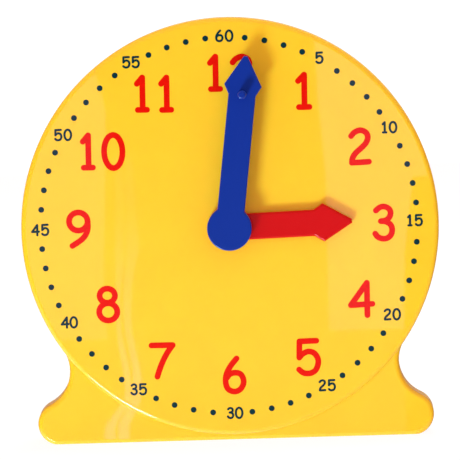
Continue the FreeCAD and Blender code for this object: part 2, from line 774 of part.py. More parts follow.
def make_gear_bridge():
    body = add_body("gear_bridge")
    sketch = shell_sketch(body, "bridge_outline", bridge_depth)
    corners = [VECTOR(x.value, z.value, 0) for x, z in BRIDGE_SCREWS]
    ordered = [0, 2, 1]
    radius = sizes.bridge_ear_radius.value
    arcs = []
    lines = []
    outward = []
    for step in range(3):
        start = corners[ordered[step]]
        end = corners[ordered[(step + 1) % 3]]
        direction = (end - start) / (end - start).Length
        outward.append(VECTOR(direction.y, -direction.x, 0) * radius)
    for step in range(3):
        centre = corners[ordered[step]]
        following = corners[ordered[(step + 1) % 3]]
        arcs.append(
            add_arc(sketch, centre, radius, centre + outward[step - 1], centre + outward[step])
        )
        lines.append(add_line(sketch, centre + outward[step], following + outward[step]))
    for step in range(3):
        sketch.addConstraint(Sketcher.Constraint("Tangent", arcs[step], 2, lines[step], 1))
        sketch.addConstraint(
            Sketcher.Constraint("Tangent", lines[step], 2, arcs[(step + 1) % 3], 1)
        )
        pin_point(sketch, arcs[step], 3, *BRIDGE_SCREWS[ordered[step]])
        dimension(sketch, "Radius", arcs[step], sizes.bridge_ear_radius)
    extrude(body, "Pad", "plate", sketch, sizes.bridge_thickness, reverse=True)

    bearings = [(ZERO, pivot_height), (ZERO, compound_height)]
    middle = bridge_depth + sizes.bridge_thickness / 2
    pad_back(
        body, "bearing_bosses", middle, bridge_boss_end,
        circles_at(sizes.bridge_boss_radius, bearings),
    )
    spine_half = sizes.rib_width / 2
    top = pivot_height + sizes.bridge_top_rise - sizes.bridge_head_radius - sizes.wall
    pad_back(
        body, "spine", middle, bridge_end + sizes.rib_height,
        lambda target: draw_box(
            target, -spine_half, spine_half, compound_height - sizes.bridge_boss_radius * 2, top
        ),
    )
    window_height = compound_height - sizes.window_drop
    windows = [(sizes.window_spread, window_height), (-sizes.window_spread, window_height)]
    for name, radius_size, places in (
        ("windows", sizes.window_radius, windows),
        ("arbor_bearing", sizes.arbor_radius + sizes.running_clearance, bearings[:1]),
        ("pin_hole", sizes.pin_radius + sizes.hold_clearance, bearings[1:]),
        ("bridge_holes", sizes.bridge_screw_radius + sizes.hole_clearance, BRIDGE_SCREWS),
    ):
        hole_sketch = shell_sketch(body, f"{name}_sketch", middle)
        circles_at(radius_size, places)(hole_sketch)
        cut_through(body, name, hole_sketch)
    return body


# %% Screws: pan heads with a cross recess


def make_screw(name, x, z, seat_depth, radius, length, head_radius, head_height):
    """A screw driven from the back: local Z points to the back, the head starts at zero."""
    body = add_body(name)
    point = radius * sizes.screw_point_share
    crown = head_radius * sizes.screw_crown_share
    section = add_sketch(body, f"{name}_section", "XZ_Plane")
    draw_polygon(
        section,
        [
            (ZERO, head_height),
            (ZERO, -length),
            (radius * sizes.screw_tip_share, -length),
            (radius, point - length),
            (radius, ZERO),
            (head_radius, ZERO),
            (head_radius, head_height * sizes.screw_rim_share),
            (crown, head_height),
        ],
    )
    turn_round(body, "Revolution", f"{name}_turned", section, "V_Axis")
    narrow = head_radius * sizes.cross_width_share / 2
    long = head_radius * sizes.cross_span_share / 2
    for step, (half_width, half_span) in enumerate(((narrow, long), (long, narrow))):
        cross = add_sketch(body, f"{name}_cross_{step}", out=head_height)
        draw_box(cross, -half_width, half_width, -half_span, half_span)
        recess_depth = head_height * sizes.cross_depth_share
        extrude(body, "Pocket", f"{name}_recess_{step}", cross, recess_depth)
    seat_y = seat_depth - case_depth / 2
    body.setExpression(
        "Placement",
        f"placement(vector({x.text}; {seat_y.text}; {z.text}); rotation(vector(1; 0; 0); -90))",
    )
    return body


def group(name, members):
    """Several like pieces in one node."""
    compound = document.addObject("Part::Compound", name)
    compound.Label = name
    compound.Links = members
    return compound


def make_cover_screws():
    members = [
        make_screw(
            f"cover_screw_{step}", x, z, case_depth - sizes.head_recess,
            sizes.cover_screw_radius, sizes.cover_screw_length,
            sizes.cover_head_radius, sizes.cover_head_height,
        )
        for step, (x, z) in enumerate(UPPER_SCREWS + LOWER_SCREWS, start=1)
    ]
    return group("cover_screws", members)


def make_bridge_screws():
    members = [
        make_screw(
            f"bridge_screw_{step}", x, z, bridge_end,
            sizes.bridge_screw_radius, sizes.bridge_screw_length,
            sizes.bridge_head_radius, sizes.bridge_head_height,
        )
        for step, (x, z) in enumerate(BRIDGE_SCREWS, start=1)
    ]
    return group("bridge_screws", members)


# %% Toothed blanks: each flank is an arc through three points of its involute, and
# the teeth are cut a little thin for backlash


def involute_point(base, radius, angle):
    """Point of an involute of the base circle, started at the given polar angle."""
    roll = math.sqrt(max((radius / base) ** 2 - 1, 0.0))
    polar = angle + roll - math.atan(roll)
    return VECTOR(radius * math.cos(polar), radius * math.sin(polar), 0)


def mirrored(point, axis_angle):
    """Mirror image of a point in the line through the centre at the given angle."""
    polar = 2 * axis_angle - math.atan2(point.y, point.x)
    radius = math.hypot(point.x, point.y)
    return VECTOR(radius * math.cos(polar), radius * math.sin(polar), 0)


def polar_point(radius, angle):
    return VECTOR(radius * math.cos(angle), radius * math.sin(angle), 0)


def gear_face(teeth, module, first_tooth):
    """The face of a gear with a tooth at the angle first_tooth (degrees from local X)."""
    teeth = int(teeth)
    pitch = teeth * module / 2
    base = pitch * math.cos(math.radians(sizes.pressure_angle.value))
    tip = pitch + module * sizes.addendum_share.value
    root = pitch - module * sizes.dedendum_share.value
    half_tooth = math.pi / (2 * teeth) - sizes.backlash.value / (4 * pitch)
    roll = math.tan(math.radians(sizes.pressure_angle.value))
    flank_start = -half_tooth - (roll - math.radians(sizes.pressure_angle.value))
    low = max(base, root)
    flank = [involute_point(base, radius, flank_start) for radius in (low, (low + tip) / 2, tip)]
    foot_angle = math.atan2(flank[0].y, flank[0].x)
    edges = []
    previous = None
    first = None
    for tooth in range(teeth):
        axis = math.radians(first_tooth) + 2 * math.pi * tooth / teeth
        rotation = FreeCAD.Rotation(Z_AXIS, math.degrees(axis))
        rising = [rotation.multVec(point) for point in flank]
        falling = [mirrored(point, axis) for point in rising][::-1]
        root_start = polar_point(root, axis + foot_angle)
        root_end = polar_point(root, axis - foot_angle)
        if previous is not None:
            middle = polar_point(root, axis - math.pi / teeth)
            edges.append(Part.Arc(previous, middle, root_start).toShape())
        else:
            first = root_start
        if base > root:
            edges.append(Part.LineSegment(root_start, rising[0]).toShape())
        edges.append(Part.Arc(*rising).toShape())
        edges.append(Part.Arc(rising[-1], polar_point(tip, axis), falling[0]).toShape())
        edges.append(Part.Arc(*falling).toShape())
        if base > root:
            edges.append(Part.LineSegment(falling[-1], root_end).toShape())
        previous = root_end
    middle = polar_point(root, math.radians(first_tooth) - math.pi / teeth)
    edges.append(Part.Arc(previous, middle, first).toShape())
    return Part.Face(Part.Wire(edges))


def toothed_blank(name, teeth, module, first_tooth, low, width):
    """A solid gear blank between two local heights."""
    blank = document.addObject("Part::Feature", name)
    solid = gear_face(teeth.value, module.value, first_tooth).extrude(Z_AXIS * width.value)
    solid.translate(Z_AXIS * low.value)
    blank.Shape = solid
    return blank


def root_radius(teeth, module):
    return (teeth / 2 - sizes.dedendum_share) * module


def recess_web(body, name, outer, hub, top, bottom, depth):
    """Turn a solid wheel into a rim, a thin web and a hub, on both faces."""
    for side, level, downwards in (("front", top, True), ("back", bottom, False)):
        sketch = add_sketch(body, f"{name}_{side}_sketch", out=level)
        draw_circle(sketch, outer)
        draw_circle(sketch, hub)
        extrude(body, "Pocket", f"{name}_{side}", sketch, depth, reverse=not downwards)


def drill_web(body, name, radius, ring, count, level):
    sketch = add_sketch(body, f"{name}_sketch", out=level)
    draw_circle(sketch, radius, ZERO, ring)
    hole = cut_through(body, f"{name}_first", sketch)
    document.recompute()
    copy_round(body, name, hole, sketch, count)


# angles of the first tooth: a tooth of each pinion meets a gap of its wheel on the
# line of centres, which runs straight down from the pivot
DOWN = -90.0
UP = 90.0


# %% Hour wheel with its pipe


def make_hour_wheel():
    width = sizes.hour_gear_width
    half_pitch = 180 / sizes.hour_wheel_teeth.value
    blank = toothed_blank(
        "hour_teeth", sizes.hour_wheel_teeth, sizes.gear_module, DOWN + half_pitch, ZERO, width
    )
    body = add_body("hour_wheel")
    body.BaseFeature = blank
    document.recompute()
    rim = root_radius(sizes.hour_wheel_teeth, sizes.gear_module) - sizes.gear_rim_width
    recess_web(body, "hour_web", rim, sizes.gear_hub_radius, width, ZERO, sizes.web_recess)
    drill_web(
        body, "hour_web_holes", sizes.hour_hole_radius, (rim + sizes.gear_hub_radius) / 2,
        sizes.web_holes, width / 2,
    )
    pipe_length = hour_wheel_depth + pipe_top
    pipe_sketch = add_sketch(body, "pipe_sketch", out=width / 2)
    draw_circle(pipe_sketch, sizes.pipe_radius)
    extrude(body, "Pad", "pipe", pipe_sketch, pipe_length + width / 2)
    # two flats that drive the hour hand
    flats = add_sketch(body, "flats_sketch", out=width + pipe_length, turn=-sizes.hour_angle)
    far = sizes.pipe_radius + sizes.cut_margin
    draw_box(flats, -far, -sizes.pipe_flat, -far, far)
    draw_box(flats, sizes.pipe_flat, far, -far, far)
    extrude(body, "Pocket", "pipe_flats", flats, pipe_top - sizes.hour_gap)
    bore = add_sketch(body, "pipe_bore_sketch", out=width)
    draw_circle(bore, sizes.arbor_radius + sizes.running_clearance)
    cut_through(body, "pipe_bore", bore)
    place_on_axis(body, pivot_height, -hour_wheel_end)
    return body


# %% Compound gear: wheel and pinion in one moulding


def make_compound_gear():
    length = compound_end - compound_depth
    wheel_low = compound_end - compound_wheel_end
    half_pitch = 180 / sizes.compound_wheel_teeth.value
    wheel = toothed_blank(
        "compound_wheel_teeth_blank", sizes.compound_wheel_teeth, minute_module,
        UP + half_pitch, wheel_low, sizes.compound_gear_width,
    )
    wheel_top = wheel_low + sizes.compound_gear_width
    pinion = toothed_blank(
        "compound_pinion_teeth_blank", sizes.compound_pinion_teeth, sizes.gear_module,
        UP, wheel_top - sizes.web_recess, length - wheel_top + sizes.web_recess,
    )
    teeth = document.addObject("Part::MultiFuse", "compound_teeth")
    teeth.Shapes = [wheel, pinion]
    body = add_body("compound_gear")
    document.recompute()
    body.BaseFeature = teeth
    document.recompute()
    rim = root_radius(sizes.compound_wheel_teeth, minute_module) - sizes.gear_rim_width
    recess_web(
        body, "compound_web", rim, sizes.gear_hub_radius, wheel_top, wheel_low, sizes.web_recess
    )
    drill_web(
        body, "compound_web_holes", sizes.compound_hole_radius,
        (rim + sizes.gear_hub_radius) / 2, sizes.web_holes, wheel_low,
    )
    hub_sketch = add_sketch(body, "compound_hub_sketch")
    draw_circle(hub_sketch, sizes.pin_washer_radius)
    extrude(body, "Pad", "compound_hub", hub_sketch, wheel_low + sizes.web_recess * 2)
    bore = add_sketch(body, "compound_bore_sketch", out=wheel_low)
    draw_circle(bore, sizes.pin_radius + sizes.running_clearance)
    cut_through(body, "compound_bore", bore)
    place_on_axis(body, compound_height, -compound_end)
    return body


# %% Minute pinion and its arbor


def draw_flatted(sketch, radius, flat):
    """A circle with one flat towards local +X, as an arc and a line."""
    rise = math.sqrt(radius.value**2 - flat.value**2)
    top = VECTOR(flat.value, rise, 0)
    bottom = VECTOR(flat.value, -rise, 0)
    arc = add_arc(sketch, VECTOR(0, 0, 0), radius.value, top, bottom)
    line = add_line(sketch, bottom, top)
    sketch.addConstraint(Sketcher.Constraint("Coincident", arc, 2, line, 1))
    sketch.addConstraint(Sketcher.Constraint("Coincident", line, 2, arc, 1))
    sketch.addConstraint(Sketcher.Constraint("Coincident", arc, 3, -1, 1))
    sketch.addConstraint(Sketcher.Constraint("Vertical", line))
    dimension(sketch, "Radius", arc, radius)
    dimension(sketch, "DistanceX", -1, 1, line, 1, flat)


def draw_double_flatted(sketch, radius, flat):
    """A circle with flats towards local +X and -X."""
    rise = math.sqrt(radius.value**2 - flat.value**2)
    corners = [
        VECTOR(flat.value, rise, 0),
        VECTOR(-flat.value, rise, 0),
        VECTOR(-flat.value, -rise, 0),
        VECTOR(flat.value, -rise, 0),
    ]
    centre = VECTOR(0, 0, 0)
    upper = add_arc(sketch, centre, radius.value, corners[0], corners[1])
    left = add_line(sketch, corners[1], corners[2])
    lower = add_arc(sketch, centre, radius.value, corners[2], corners[3])
    right = add_line(sketch, corners[3], corners[0])
    ring = [upper, left, lower, right]
    for step in range(4):
        sketch.addConstraint(
            Sketcher.Constraint("Coincident", ring[step], 2, ring[(step + 1) % 4], 1)
        )
    for arc in (upper, lower):
        sketch.addConstraint(Sketcher.Constraint("Coincident", arc, 3, -1, 1))
    sketch.addConstraint(Sketcher.Constraint("Vertical", left))
    sketch.addConstraint(Sketcher.Constraint("Vertical", right))
    dimension(sketch, "Radius", upper, radius)
    dimension(sketch, "DistanceX", -1, 1, right, 1, flat)
    dimension(sketch, "DistanceX", -1, 1, left, 1, -flat)


def make_minute_pinion():
    width = minute_pinion_end - minute_pinion_depth
    blank = toothed_blank(
        "minute_teeth", sizes.minute_pinion_teeth, minute_module,
        DOWN + sizes.minute_angle.value, ZERO, width,
    )
    body = add_body("minute_pinion")
    body.BaseFeature = blank
    document.recompute()
    bore = add_sketch(body, "minute_bore_sketch", out=width / 2)
    hold = sizes.hold_clearance
    draw_flatted(bore, sizes.arbor_radius + hold, sizes.arbor_flat + hold)
    cut_through(body, "minute_bore", bore)
    place_on_axis(body, pivot_height, -minute_pinion_end, sizes.minute_angle)
    return body


def turn_shaft(body, name, radius, length):
    """Round steel along local Z, with both ends chamfered."""
    chamfer = sizes.pin_chamfer
    section = add_sketch(body, f"{name}_section", "XZ_Plane")
    draw_polygon(
        section,
        [
            (ZERO, ZERO),
            (radius - chamfer, ZERO),
            (radius, chamfer),
            (radius, length - chamfer),
            (radius - chamfer, length),
            (ZERO, length),
        ],
    )
    turn_round(body, "Revolution", f"{name}_turned", section, "V_Axis")


def make_minute_arbor():
    """Round steel with a flat at the hand and a flat at the pinion."""
    body = add_body("minute_arbor")
    length = arbor_end + arbor_top
    turn_shaft(body, "arbor", sizes.arbor_radius, length)
    far = sizes.arbor_radius + sizes.cut_margin
    hand_seat = arbor_end + minute_hub_bottom
    pinion_low = arbor_end - minute_pinion_end
    pinion_high = arbor_end - minute_pinion_depth
    for name, low, high in (
        ("hand_flat", hand_seat, length),
        ("pinion_flat", pinion_low, pinion_high),
    ):
        flat = add_sketch(body, f"{name}_sketch", out=high)
        draw_box(flat, sizes.arbor_flat, far, -far, far)
        extrude(body, "Pocket", name, flat, high - low)
    place_on_axis(body, pivot_height, -arbor_end, sizes.minute_angle)
    return body


# %% Pin of the compound gear, washers, spring and ring


def make_compound_pin():
    body = add_body("compound_pin")
    turn_shaft(body, "pin", sizes.pin_radius, bridge_boss_end - sizes.wall - sizes.axial_play)
    place_on_axis(body, compound_height, -bridge_boss_end)
    return body


def make_washer(name, outer, bore_radius, height, depth):
    """A flat washer whose front face lies at the given depth."""
    body = add_body(name)
    sketch = add_sketch(body, f"{name}_sketch")
    draw_circle(sketch, outer)
    draw_circle(sketch, bore_radius)
    extrude(body, "Pad", f"{name}_disc", sketch, sizes.washer_thickness)
    place_on_axis(body, height, -(depth + sizes.washer_thickness))
    return body


def make_drag_spring():
    """A bowed spring washer: a thin arched strip cut round, with a hole."""
    body = add_body("drag_spring")
    half = sizes.spring_radius
    bow = sizes.spring_bow
    inner = (half * half + bow * bow) / (bow * 2)
    outer = inner + sizes.spring_thickness
    centre_z = bow - inner
    strip = add_sketch(body, "strip_sketch", "XZ_Plane")
    centre = VECTOR(0, centre_z.value, 0)
    reach = half + sizes.spring_blank_margin
    ends = []
    for radius in (outer.value, inner.value):
        rise = math.sqrt(radius**2 - reach.value**2) + centre_z.value
        ends.append((VECTOR(reach.value, rise, 0), VECTOR(-reach.value, rise, 0)))
    upper = add_arc(strip, centre, outer.value, *ends[0])
    lower = add_arc(strip, centre, inner.value, *ends[1])
    right = add_line(strip, ends[1][0], ends[0][0])
    left = add_line(strip, ends[0][1], ends[1][1])
    for first, first_end, second, second_end in (
        (right, 2, upper, 1),
        (upper, 2, left, 1),
        (left, 2, lower, 2),
        (lower, 1, right, 1),
        (upper, 3, lower, 3),
    ):
        strip.addConstraint(
            Sketcher.Constraint("Coincident", first, first_end, second, second_end)
        )
    strip.addConstraint(Sketcher.Constraint("PointOnObject", upper, 3, -2))
    strip.addConstraint(Sketcher.Constraint("Vertical", right))
    strip.addConstraint(Sketcher.Constraint("Vertical", left))
    dimension(strip, "DistanceY", -1, 1, upper, 3, centre_z)
    dimension(strip, "Radius", upper, outer)
    dimension(strip, "Radius", lower, inner)
    dimension(strip, "DistanceX", -1, 1, right, 1, reach)
    dimension(strip, "DistanceX", -1, 1, left, 1, -reach)
    pad = extrude(body, "Pad", "arched_strip", strip, reach * 2)
    pad.Midplane = True
    trim = add_sketch(body, "trim_sketch")
    draw_circle(trim, half + sizes.cut_margin)
    draw_circle(trim, half)
    cut_through(body, "round_edge", trim)
    hole = add_sketch(body, "spring_hole_sketch")
    draw_circle(hole, sizes.arbor_radius + sizes.hole_clearance)
    cut_through(body, "spring_hole", hole)
    place_on_axis(body, pivot_height, -(bridge_depth - sizes.axial_play / 2))
    return body


def make_retaining_ring():
    """A push-on ring with inward teeth that grip the arbor."""
    body = add_body("retaining_ring")
    sketch = add_sketch(body, "ring_sketch")
    draw_circle(sketch, sizes.ring_radius)
    draw_circle(sketch, sizes.arbor_radius + sizes.hold_clearance)
    extrude(body, "Pad", "ring_disc", sketch, sizes.ring_thickness)
    slot_sketch = add_sketch(body, "slot_sketch", out=sizes.ring_thickness)
    half = sizes.ring_slot_width / 2
    draw_box(slot_sketch, -half, half, sizes.arbor_radius / 2, sizes.ring_slot_reach)
    slot = cut_through(body, "slot", slot_sketch)
    document.recompute()
    copy_round(body, "slots", slot, slot_sketch, sizes.ring_slots)
    place_on_axis(
        body, pivot_height, -(ring_depth + sizes.ring_thickness), sizes.minute_angle
    )
    return body


# %% Hands


def draw_arrow(sketch, half_width, notch, barb, barb_half, reach):
    """Bar and arrowhead of a hand, pointing along local Y from the pivot."""
    tip_half = sizes.tip_half_width
    draw_polygon(
        sketch,
        [
            (half_width, ZERO),
            (half_width, notch),
            (barb_half, barb),
            (tip_half, reach),
            (-tip_half, reach),
            (-barb_half, barb),
            (-half_width, notch),
            (-half_width, ZERO),
        ],
    )


def make_hour_hand():
    body = add_body("hour_hand")
    blade = add_sketch(body, "hour_blade_sketch")
    draw_arrow(
        blade, sizes.hour_half_width, sizes.hour_notch, sizes.hour_barb,
        sizes.hour_barb_half, sizes.hour_reach,
    )
    extrude(body, "Pad", "hour_blade", blade, sizes.hour_thickness)
    hub_sketch = add_sketch(body, "hour_hub_sketch")
    draw_circle(hub_sketch, sizes.hand_hub_radius)
    hub = extrude(body, "Pad", "hour_hub", hub_sketch, sizes.hour_thickness)
    top = sizes.hour_thickness.value
    round_edges(
        body, "hour_rounding", hub, lambda edge: lies_at(edge, "z", top), sizes.hour_bevel
    )
    boss = add_sketch(body, "hour_boss_sketch")
    draw_circle(boss, sizes.hour_boss_radius)
    extrude(body, "Pad", "hour_boss", boss, sizes.hour_thickness + sizes.hour_boss_height)
    # the hole fits the pipe and its two flats
    hold = sizes.hold_clearance
    pipe = sizes.pipe_radius + hold
    hole = add_sketch(body, "hour_hole_sketch", out=sizes.hour_thickness)
    draw_double_flatted(hole, pipe, sizes.pipe_flat + hold)
    cut_through(body, "hour_hole", hole)
    place_on_axis(body, pivot_height, sizes.hour_gap, sizes.hour_angle)
    return body


def make_minute_hand():
    body = add_body("minute_hand")
    depth = sizes.minute_hub_depth
    blade_low = depth - sizes.minute_thickness
    blade = add_sketch(body, "minute_blade_sketch", out=blade_low)
    draw_arrow(
        blade, sizes.minute_half_width, sizes.minute_notch, sizes.minute_barb,
        sizes.minute_barb_half, sizes.minute_reach,
    )
    extrude(body, "Pad", "minute_blade", blade, sizes.minute_thickness)
    hub_sketch = add_sketch(body, "minute_hub_sketch")
    draw_circle(hub_sketch, sizes.hand_hub_radius)
    hub = extrude(body, "Pad", "minute_hub", hub_sketch, depth)
    top = depth.value
    round_edges(
        body, "minute_rounding", hub, lambda edge: lies_at(edge, "z", top), sizes.minute_bevel
    )
    peg_sketch = add_sketch(body, "peg_sketch", out=blade_low + sizes.minute_thickness / 2)
    draw_circle(peg_sketch, sizes.peg_radius, ZERO, sizes.peg_distance)
    peg = extrude(
        body, "Pad", "peg", peg_sketch, sizes.peg_height + sizes.minute_thickness / 2
    )
    peg_top = (depth + sizes.peg_height).value
    round_edges(
        body, "peg_end", peg, lambda edge: lies_at(edge, "z", peg_top), sizes.peg_rounding
    )
    hold = sizes.hold_clearance
    socket = add_sketch(body, "socket_sketch")
    draw_flatted(socket, sizes.arbor_radius + hold, sizes.arbor_flat + hold)
    extrude(body, "Pocket", "socket", socket, depth - sizes.minute_skin, reverse=True)
    place_on_axis(body, pivot_height, minute_hub_bottom, sizes.minute_angle)
    return body


# %% Build, check and write


def build_all():
    plain_bore = sizes.pipe_radius + sizes.hole_clearance
    arbor_bore = sizes.arbor_radius + sizes.hole_clearance
    pin_bore = sizes.pin_radius + sizes.hole_clearance
    return [
        make_front_housing(),
        make_back_cover(),
        make_cover_screws(),
        make_gear_bridge(),
        make_bridge_screws(),
        make_hour_wheel(),
        make_compound_gear(),
        make_compound_pin(),
        make_minute_pinion(),
        make_minute_arbor(),
        make_washer(
            "thrust_washer", sizes.thrust_washer_radius, plain_bore, pivot_height,
            thrust_washer_depth,
        ),
        make_washer(
            "spacer_washer", sizes.spacer_radius, arbor_bore, pivot_height, spacer_depth
        ),
        make_washer(
            "front_pin_washer", sizes.pin_washer_radius, pin_bore, compound_height,
            front_pin_washer_depth,
        ),
        make_washer(
            "back_pin_washer", sizes.pin_washer_radius, pin_bore, compound_height,
            back_pin_washer_depth,
        ),
        make_drag_spring(),
        make_retaining_ring(),
        make_hour_hand(),
        make_minute_hand(),
    ]


def check_document():
    for item in document.Objects:
        if "Invalid" in item.State or "Error" in item.State:
            raise RuntimeError(f"{item.Label}: {item.State}")


def write_parts(parts):
    os.makedirs("parts", exist_ok=True)
    for part in parts:
        shape = part.Shape
        if shape.isNull() or not shape.isValid():
            raise RuntimeError(f"{part.Label}: bad shape")
        shape.exportStep(f"parts/{part.Label}.step")
        box = shape.BoundBox
        print(
            f"{part.Label:18s} solids {len(shape.Solids)} volume {shape.Volume:9.2f} "
            f"x {box.XMin:7.2f} {box.XMax:7.2f} y {box.YMin:7.2f} {box.YMax:7.2f} "
            f"z {box.ZMin:7.2f} {box.ZMax:7.2f}"
        )


finished = build_all()
document.recompute()
check_document()
write_parts(finished)
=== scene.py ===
# %% [markdown]
# # A geared teaching clock
#
# The clock is a moulded plastic case with a printed dial and two hands that are geared together.
# Every solid with a size comes from the CAD model, which is loaded here as a fixed frame.
# Blender adds what the solids lack: the printed dial, the finish of each plastic and metal, the
# light and the camera. The object stands on the floor at height 0 and its dial faces -Y.

import math

import bmesh
import bpy
from mathutils import Matrix, Vector
from mathutils.geometry import delaunay_2d_cdt


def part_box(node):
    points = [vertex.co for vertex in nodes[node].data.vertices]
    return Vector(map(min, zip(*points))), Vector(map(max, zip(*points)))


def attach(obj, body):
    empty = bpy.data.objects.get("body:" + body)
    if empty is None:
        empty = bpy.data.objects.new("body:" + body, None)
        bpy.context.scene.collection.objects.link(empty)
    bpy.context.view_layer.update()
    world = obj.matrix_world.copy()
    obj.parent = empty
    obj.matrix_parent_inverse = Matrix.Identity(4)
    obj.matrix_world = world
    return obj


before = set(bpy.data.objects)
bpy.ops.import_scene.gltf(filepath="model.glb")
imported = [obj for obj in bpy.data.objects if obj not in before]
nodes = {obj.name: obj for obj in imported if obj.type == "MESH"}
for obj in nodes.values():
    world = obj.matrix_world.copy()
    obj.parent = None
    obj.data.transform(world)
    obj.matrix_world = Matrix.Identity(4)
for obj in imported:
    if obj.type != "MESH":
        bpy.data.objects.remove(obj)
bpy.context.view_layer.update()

# %% [markdown]
# ## Sizes that the print and the studio share
#
# All lengths below are in millimetres, as a maker would read them off a drawing, and MM turns
# them to Blender's metres. The dial's height and the pivot come from the CAD nodes themselves,
# so the print stays on the dial if the case changes.

# %% Find the dial and the pivot
MM = 0.001
case_low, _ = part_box("front_housing")
arbor_low, arbor_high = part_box("minute_arbor")
DIAL_Y = case_low.y
PIVOT = Vector(((arbor_low.x + arbor_high.x) / 2, DIAL_Y, (arbor_low.z + arbor_high.z) / 2))
print("dial face at y", round(DIAL_Y / MM, 2), "pivot at height", round(PIVOT.z / MM, 2))


def from_hex(code, alpha=1.0):
    """An sRGB hex colour as the linear colour that a shader wants."""
    channels = [int(code[i : i + 2], 16) / 255 for i in (1, 3, 5)]
    linear = [c / 12.92 if c <= 0.04045 else ((c + 0.055) / 1.055) ** 2.4 for c in channels]
    return (*linear, alpha)


# %% [markdown]
# ## Helpers for all node trees
#
# A node is added with its settings, and each input is either a number or the output of another
# node. The same helper serves shaders and Geometry Nodes. The smaller ones after it are steps
# that most finishes here share: a noise with a wavelength in millimetres, a range mapped to
# another, two colours blended, and a bumped normal.


# %% Add a node
def add(tree, kind, inputs=None, **settings):
    """Add a node, give it its settings, and fill or link its inputs."""
    node = tree.nodes.new(kind)
    for name, value in settings.items():
        setattr(node, name, value)
    for name, value in (inputs or {}).items():
        if isinstance(value, bpy.types.NodeSocket):
            tree.links.new(value, node.inputs[name])
        else:
            node.inputs[name].default_value = value
    return node


def new_material(name):
    """An empty node material and its tree."""
    material = bpy.data.materials.new(name)
    material.use_nodes = True
    material.node_tree.nodes.clear()
    return material, material.node_tree


def finish_material(tree, shader):
    """Link the last shader of a tree to its output."""
    add(tree, "ShaderNodeOutputMaterial", {"Surface": shader.outputs[0]})


# %% Steps that the finishes share
NOISE_MIDDLE = (0.3, 0.7)  # most of a noise texture lies between these


def noise(tree, where, wave, detail, twist=0.0):
    """A noise texture whose features are this many millimetres long."""
    return add(
        tree,
        "ShaderNodeTexNoise",
        {"Vector": where, "Scale": 1 / (wave * MM), "Detail": detail, "Distortion": twist},
    ).outputs[0]


def mapped(tree, value, low, high, at_low, at_high):
    """A value mapped in a straight line from one range to another, and clamped."""
    return add(
        tree, "ShaderNodeMapRange", {"Value": value, 1: low, 2: high, 3: at_low, 4: at_high}
    ).outputs[0]


def blended(tree, share, first, second, how="MIX"):
    """Two colours mixed or multiplied."""
    return add(
        tree,
        "ShaderNodeMix",
        {0: share, 6: first, 7: second},
        data_type="RGBA",
        blend_type=how,
    ).outputs[2]


def uneven(tree, texture, at_low, at_high):
    """A level that follows a noise texture."""
    return mapped(tree, texture, *NOISE_MIDDLE, at_low, at_high)


def clouded(tree, colour, texture, darkest, lightest):
    """A colour that a noise texture darkens and lightens a little."""
    return blended(tree, 1.0, colour, uneven(tree, texture, darkest, lightest), "MULTIPLY")


def bumped(tree, height, strength, distance, normal=None):
    """A normal bent by a height. distance is the full height in millimetres."""
    inputs = {"Height": height, "Strength": strength, "Distance": distance * MM}
    if normal is not None:
        inputs["Normal"] = normal
    return add(tree, "ShaderNodeBump", inputs).outputs[0]


# %% Dress pieces and place new ones
def dress(material, *names):
    """Give CAD nodes this material in the slot that they already have."""
    for name in names:
        for slot in nodes[name].material_slots:
            slot.material = material
    print(material.name, "on", ", ".join(names))


def place(name, data):
    """A new object in the scene that holds this mesh, lamp or camera."""
    piece = bpy.data.objects.new(name, data)
    bpy.context.scene.collection.objects.link(piece)
    return piece


# %% [markdown]
# ## Polished ABS: the front housing and both hands
#
# The housing is injection moulded ABS from a polished mould, so it is glossy and shows the
# studio as in a dull mirror. The face of such a moulding is never quite flat: it sinks a few
# thousandths of a millimetre where ribs stand behind it, and that makes the edges of the
# reflections waver. The colour is in the resin, with faint flow marks. The walls get a colour
# of their own, which is painted shading that stands in for how the studio light falls on them.
#
# The sink is a slow noise with a wavelength of 35 mm, the faint orange peel has one of 1.2 mm,
# and both only bend the normals. The Y part of the normal tells the walls from the face. Walls
# square to the face are a little duller, as the mould is polished less there.

# %% ABS from a polished mould
SINK_WAVE = 35.0
PEEL_WAVE = 1.2
FLOW_LENGTH = 18.0
FLOW_TWIST = 1.2
ABS_IOR = 1.54
SOAK_DEPTH = 1.0
SOAK_COLOUR = (1.0, 0.4, 0.1)  # red light runs furthest in yellow plastic
PAINTED_WALL_TO_FACE = (0.25, 0.85)  # Y part of the normal where the painted wall shading ends, and the face's colour starts
WALL_TO_ROUNDING = (0.12, 0.3)  # the same, where the dull wall ends and the gloss starts
WALL_ROUGHNESS = 0.34
CLEAR = (1.0, 1.0, 1.0, 1.0)
BLUE_SHEEN = (0.45, 0.78, 1.0, 1.0)


def flow_marks(tree, where):
    """The slow swirls that molten resin leaves as it fills the mould."""
    return noise(tree, where, FLOW_LENGTH, 3.0, FLOW_TWIST)


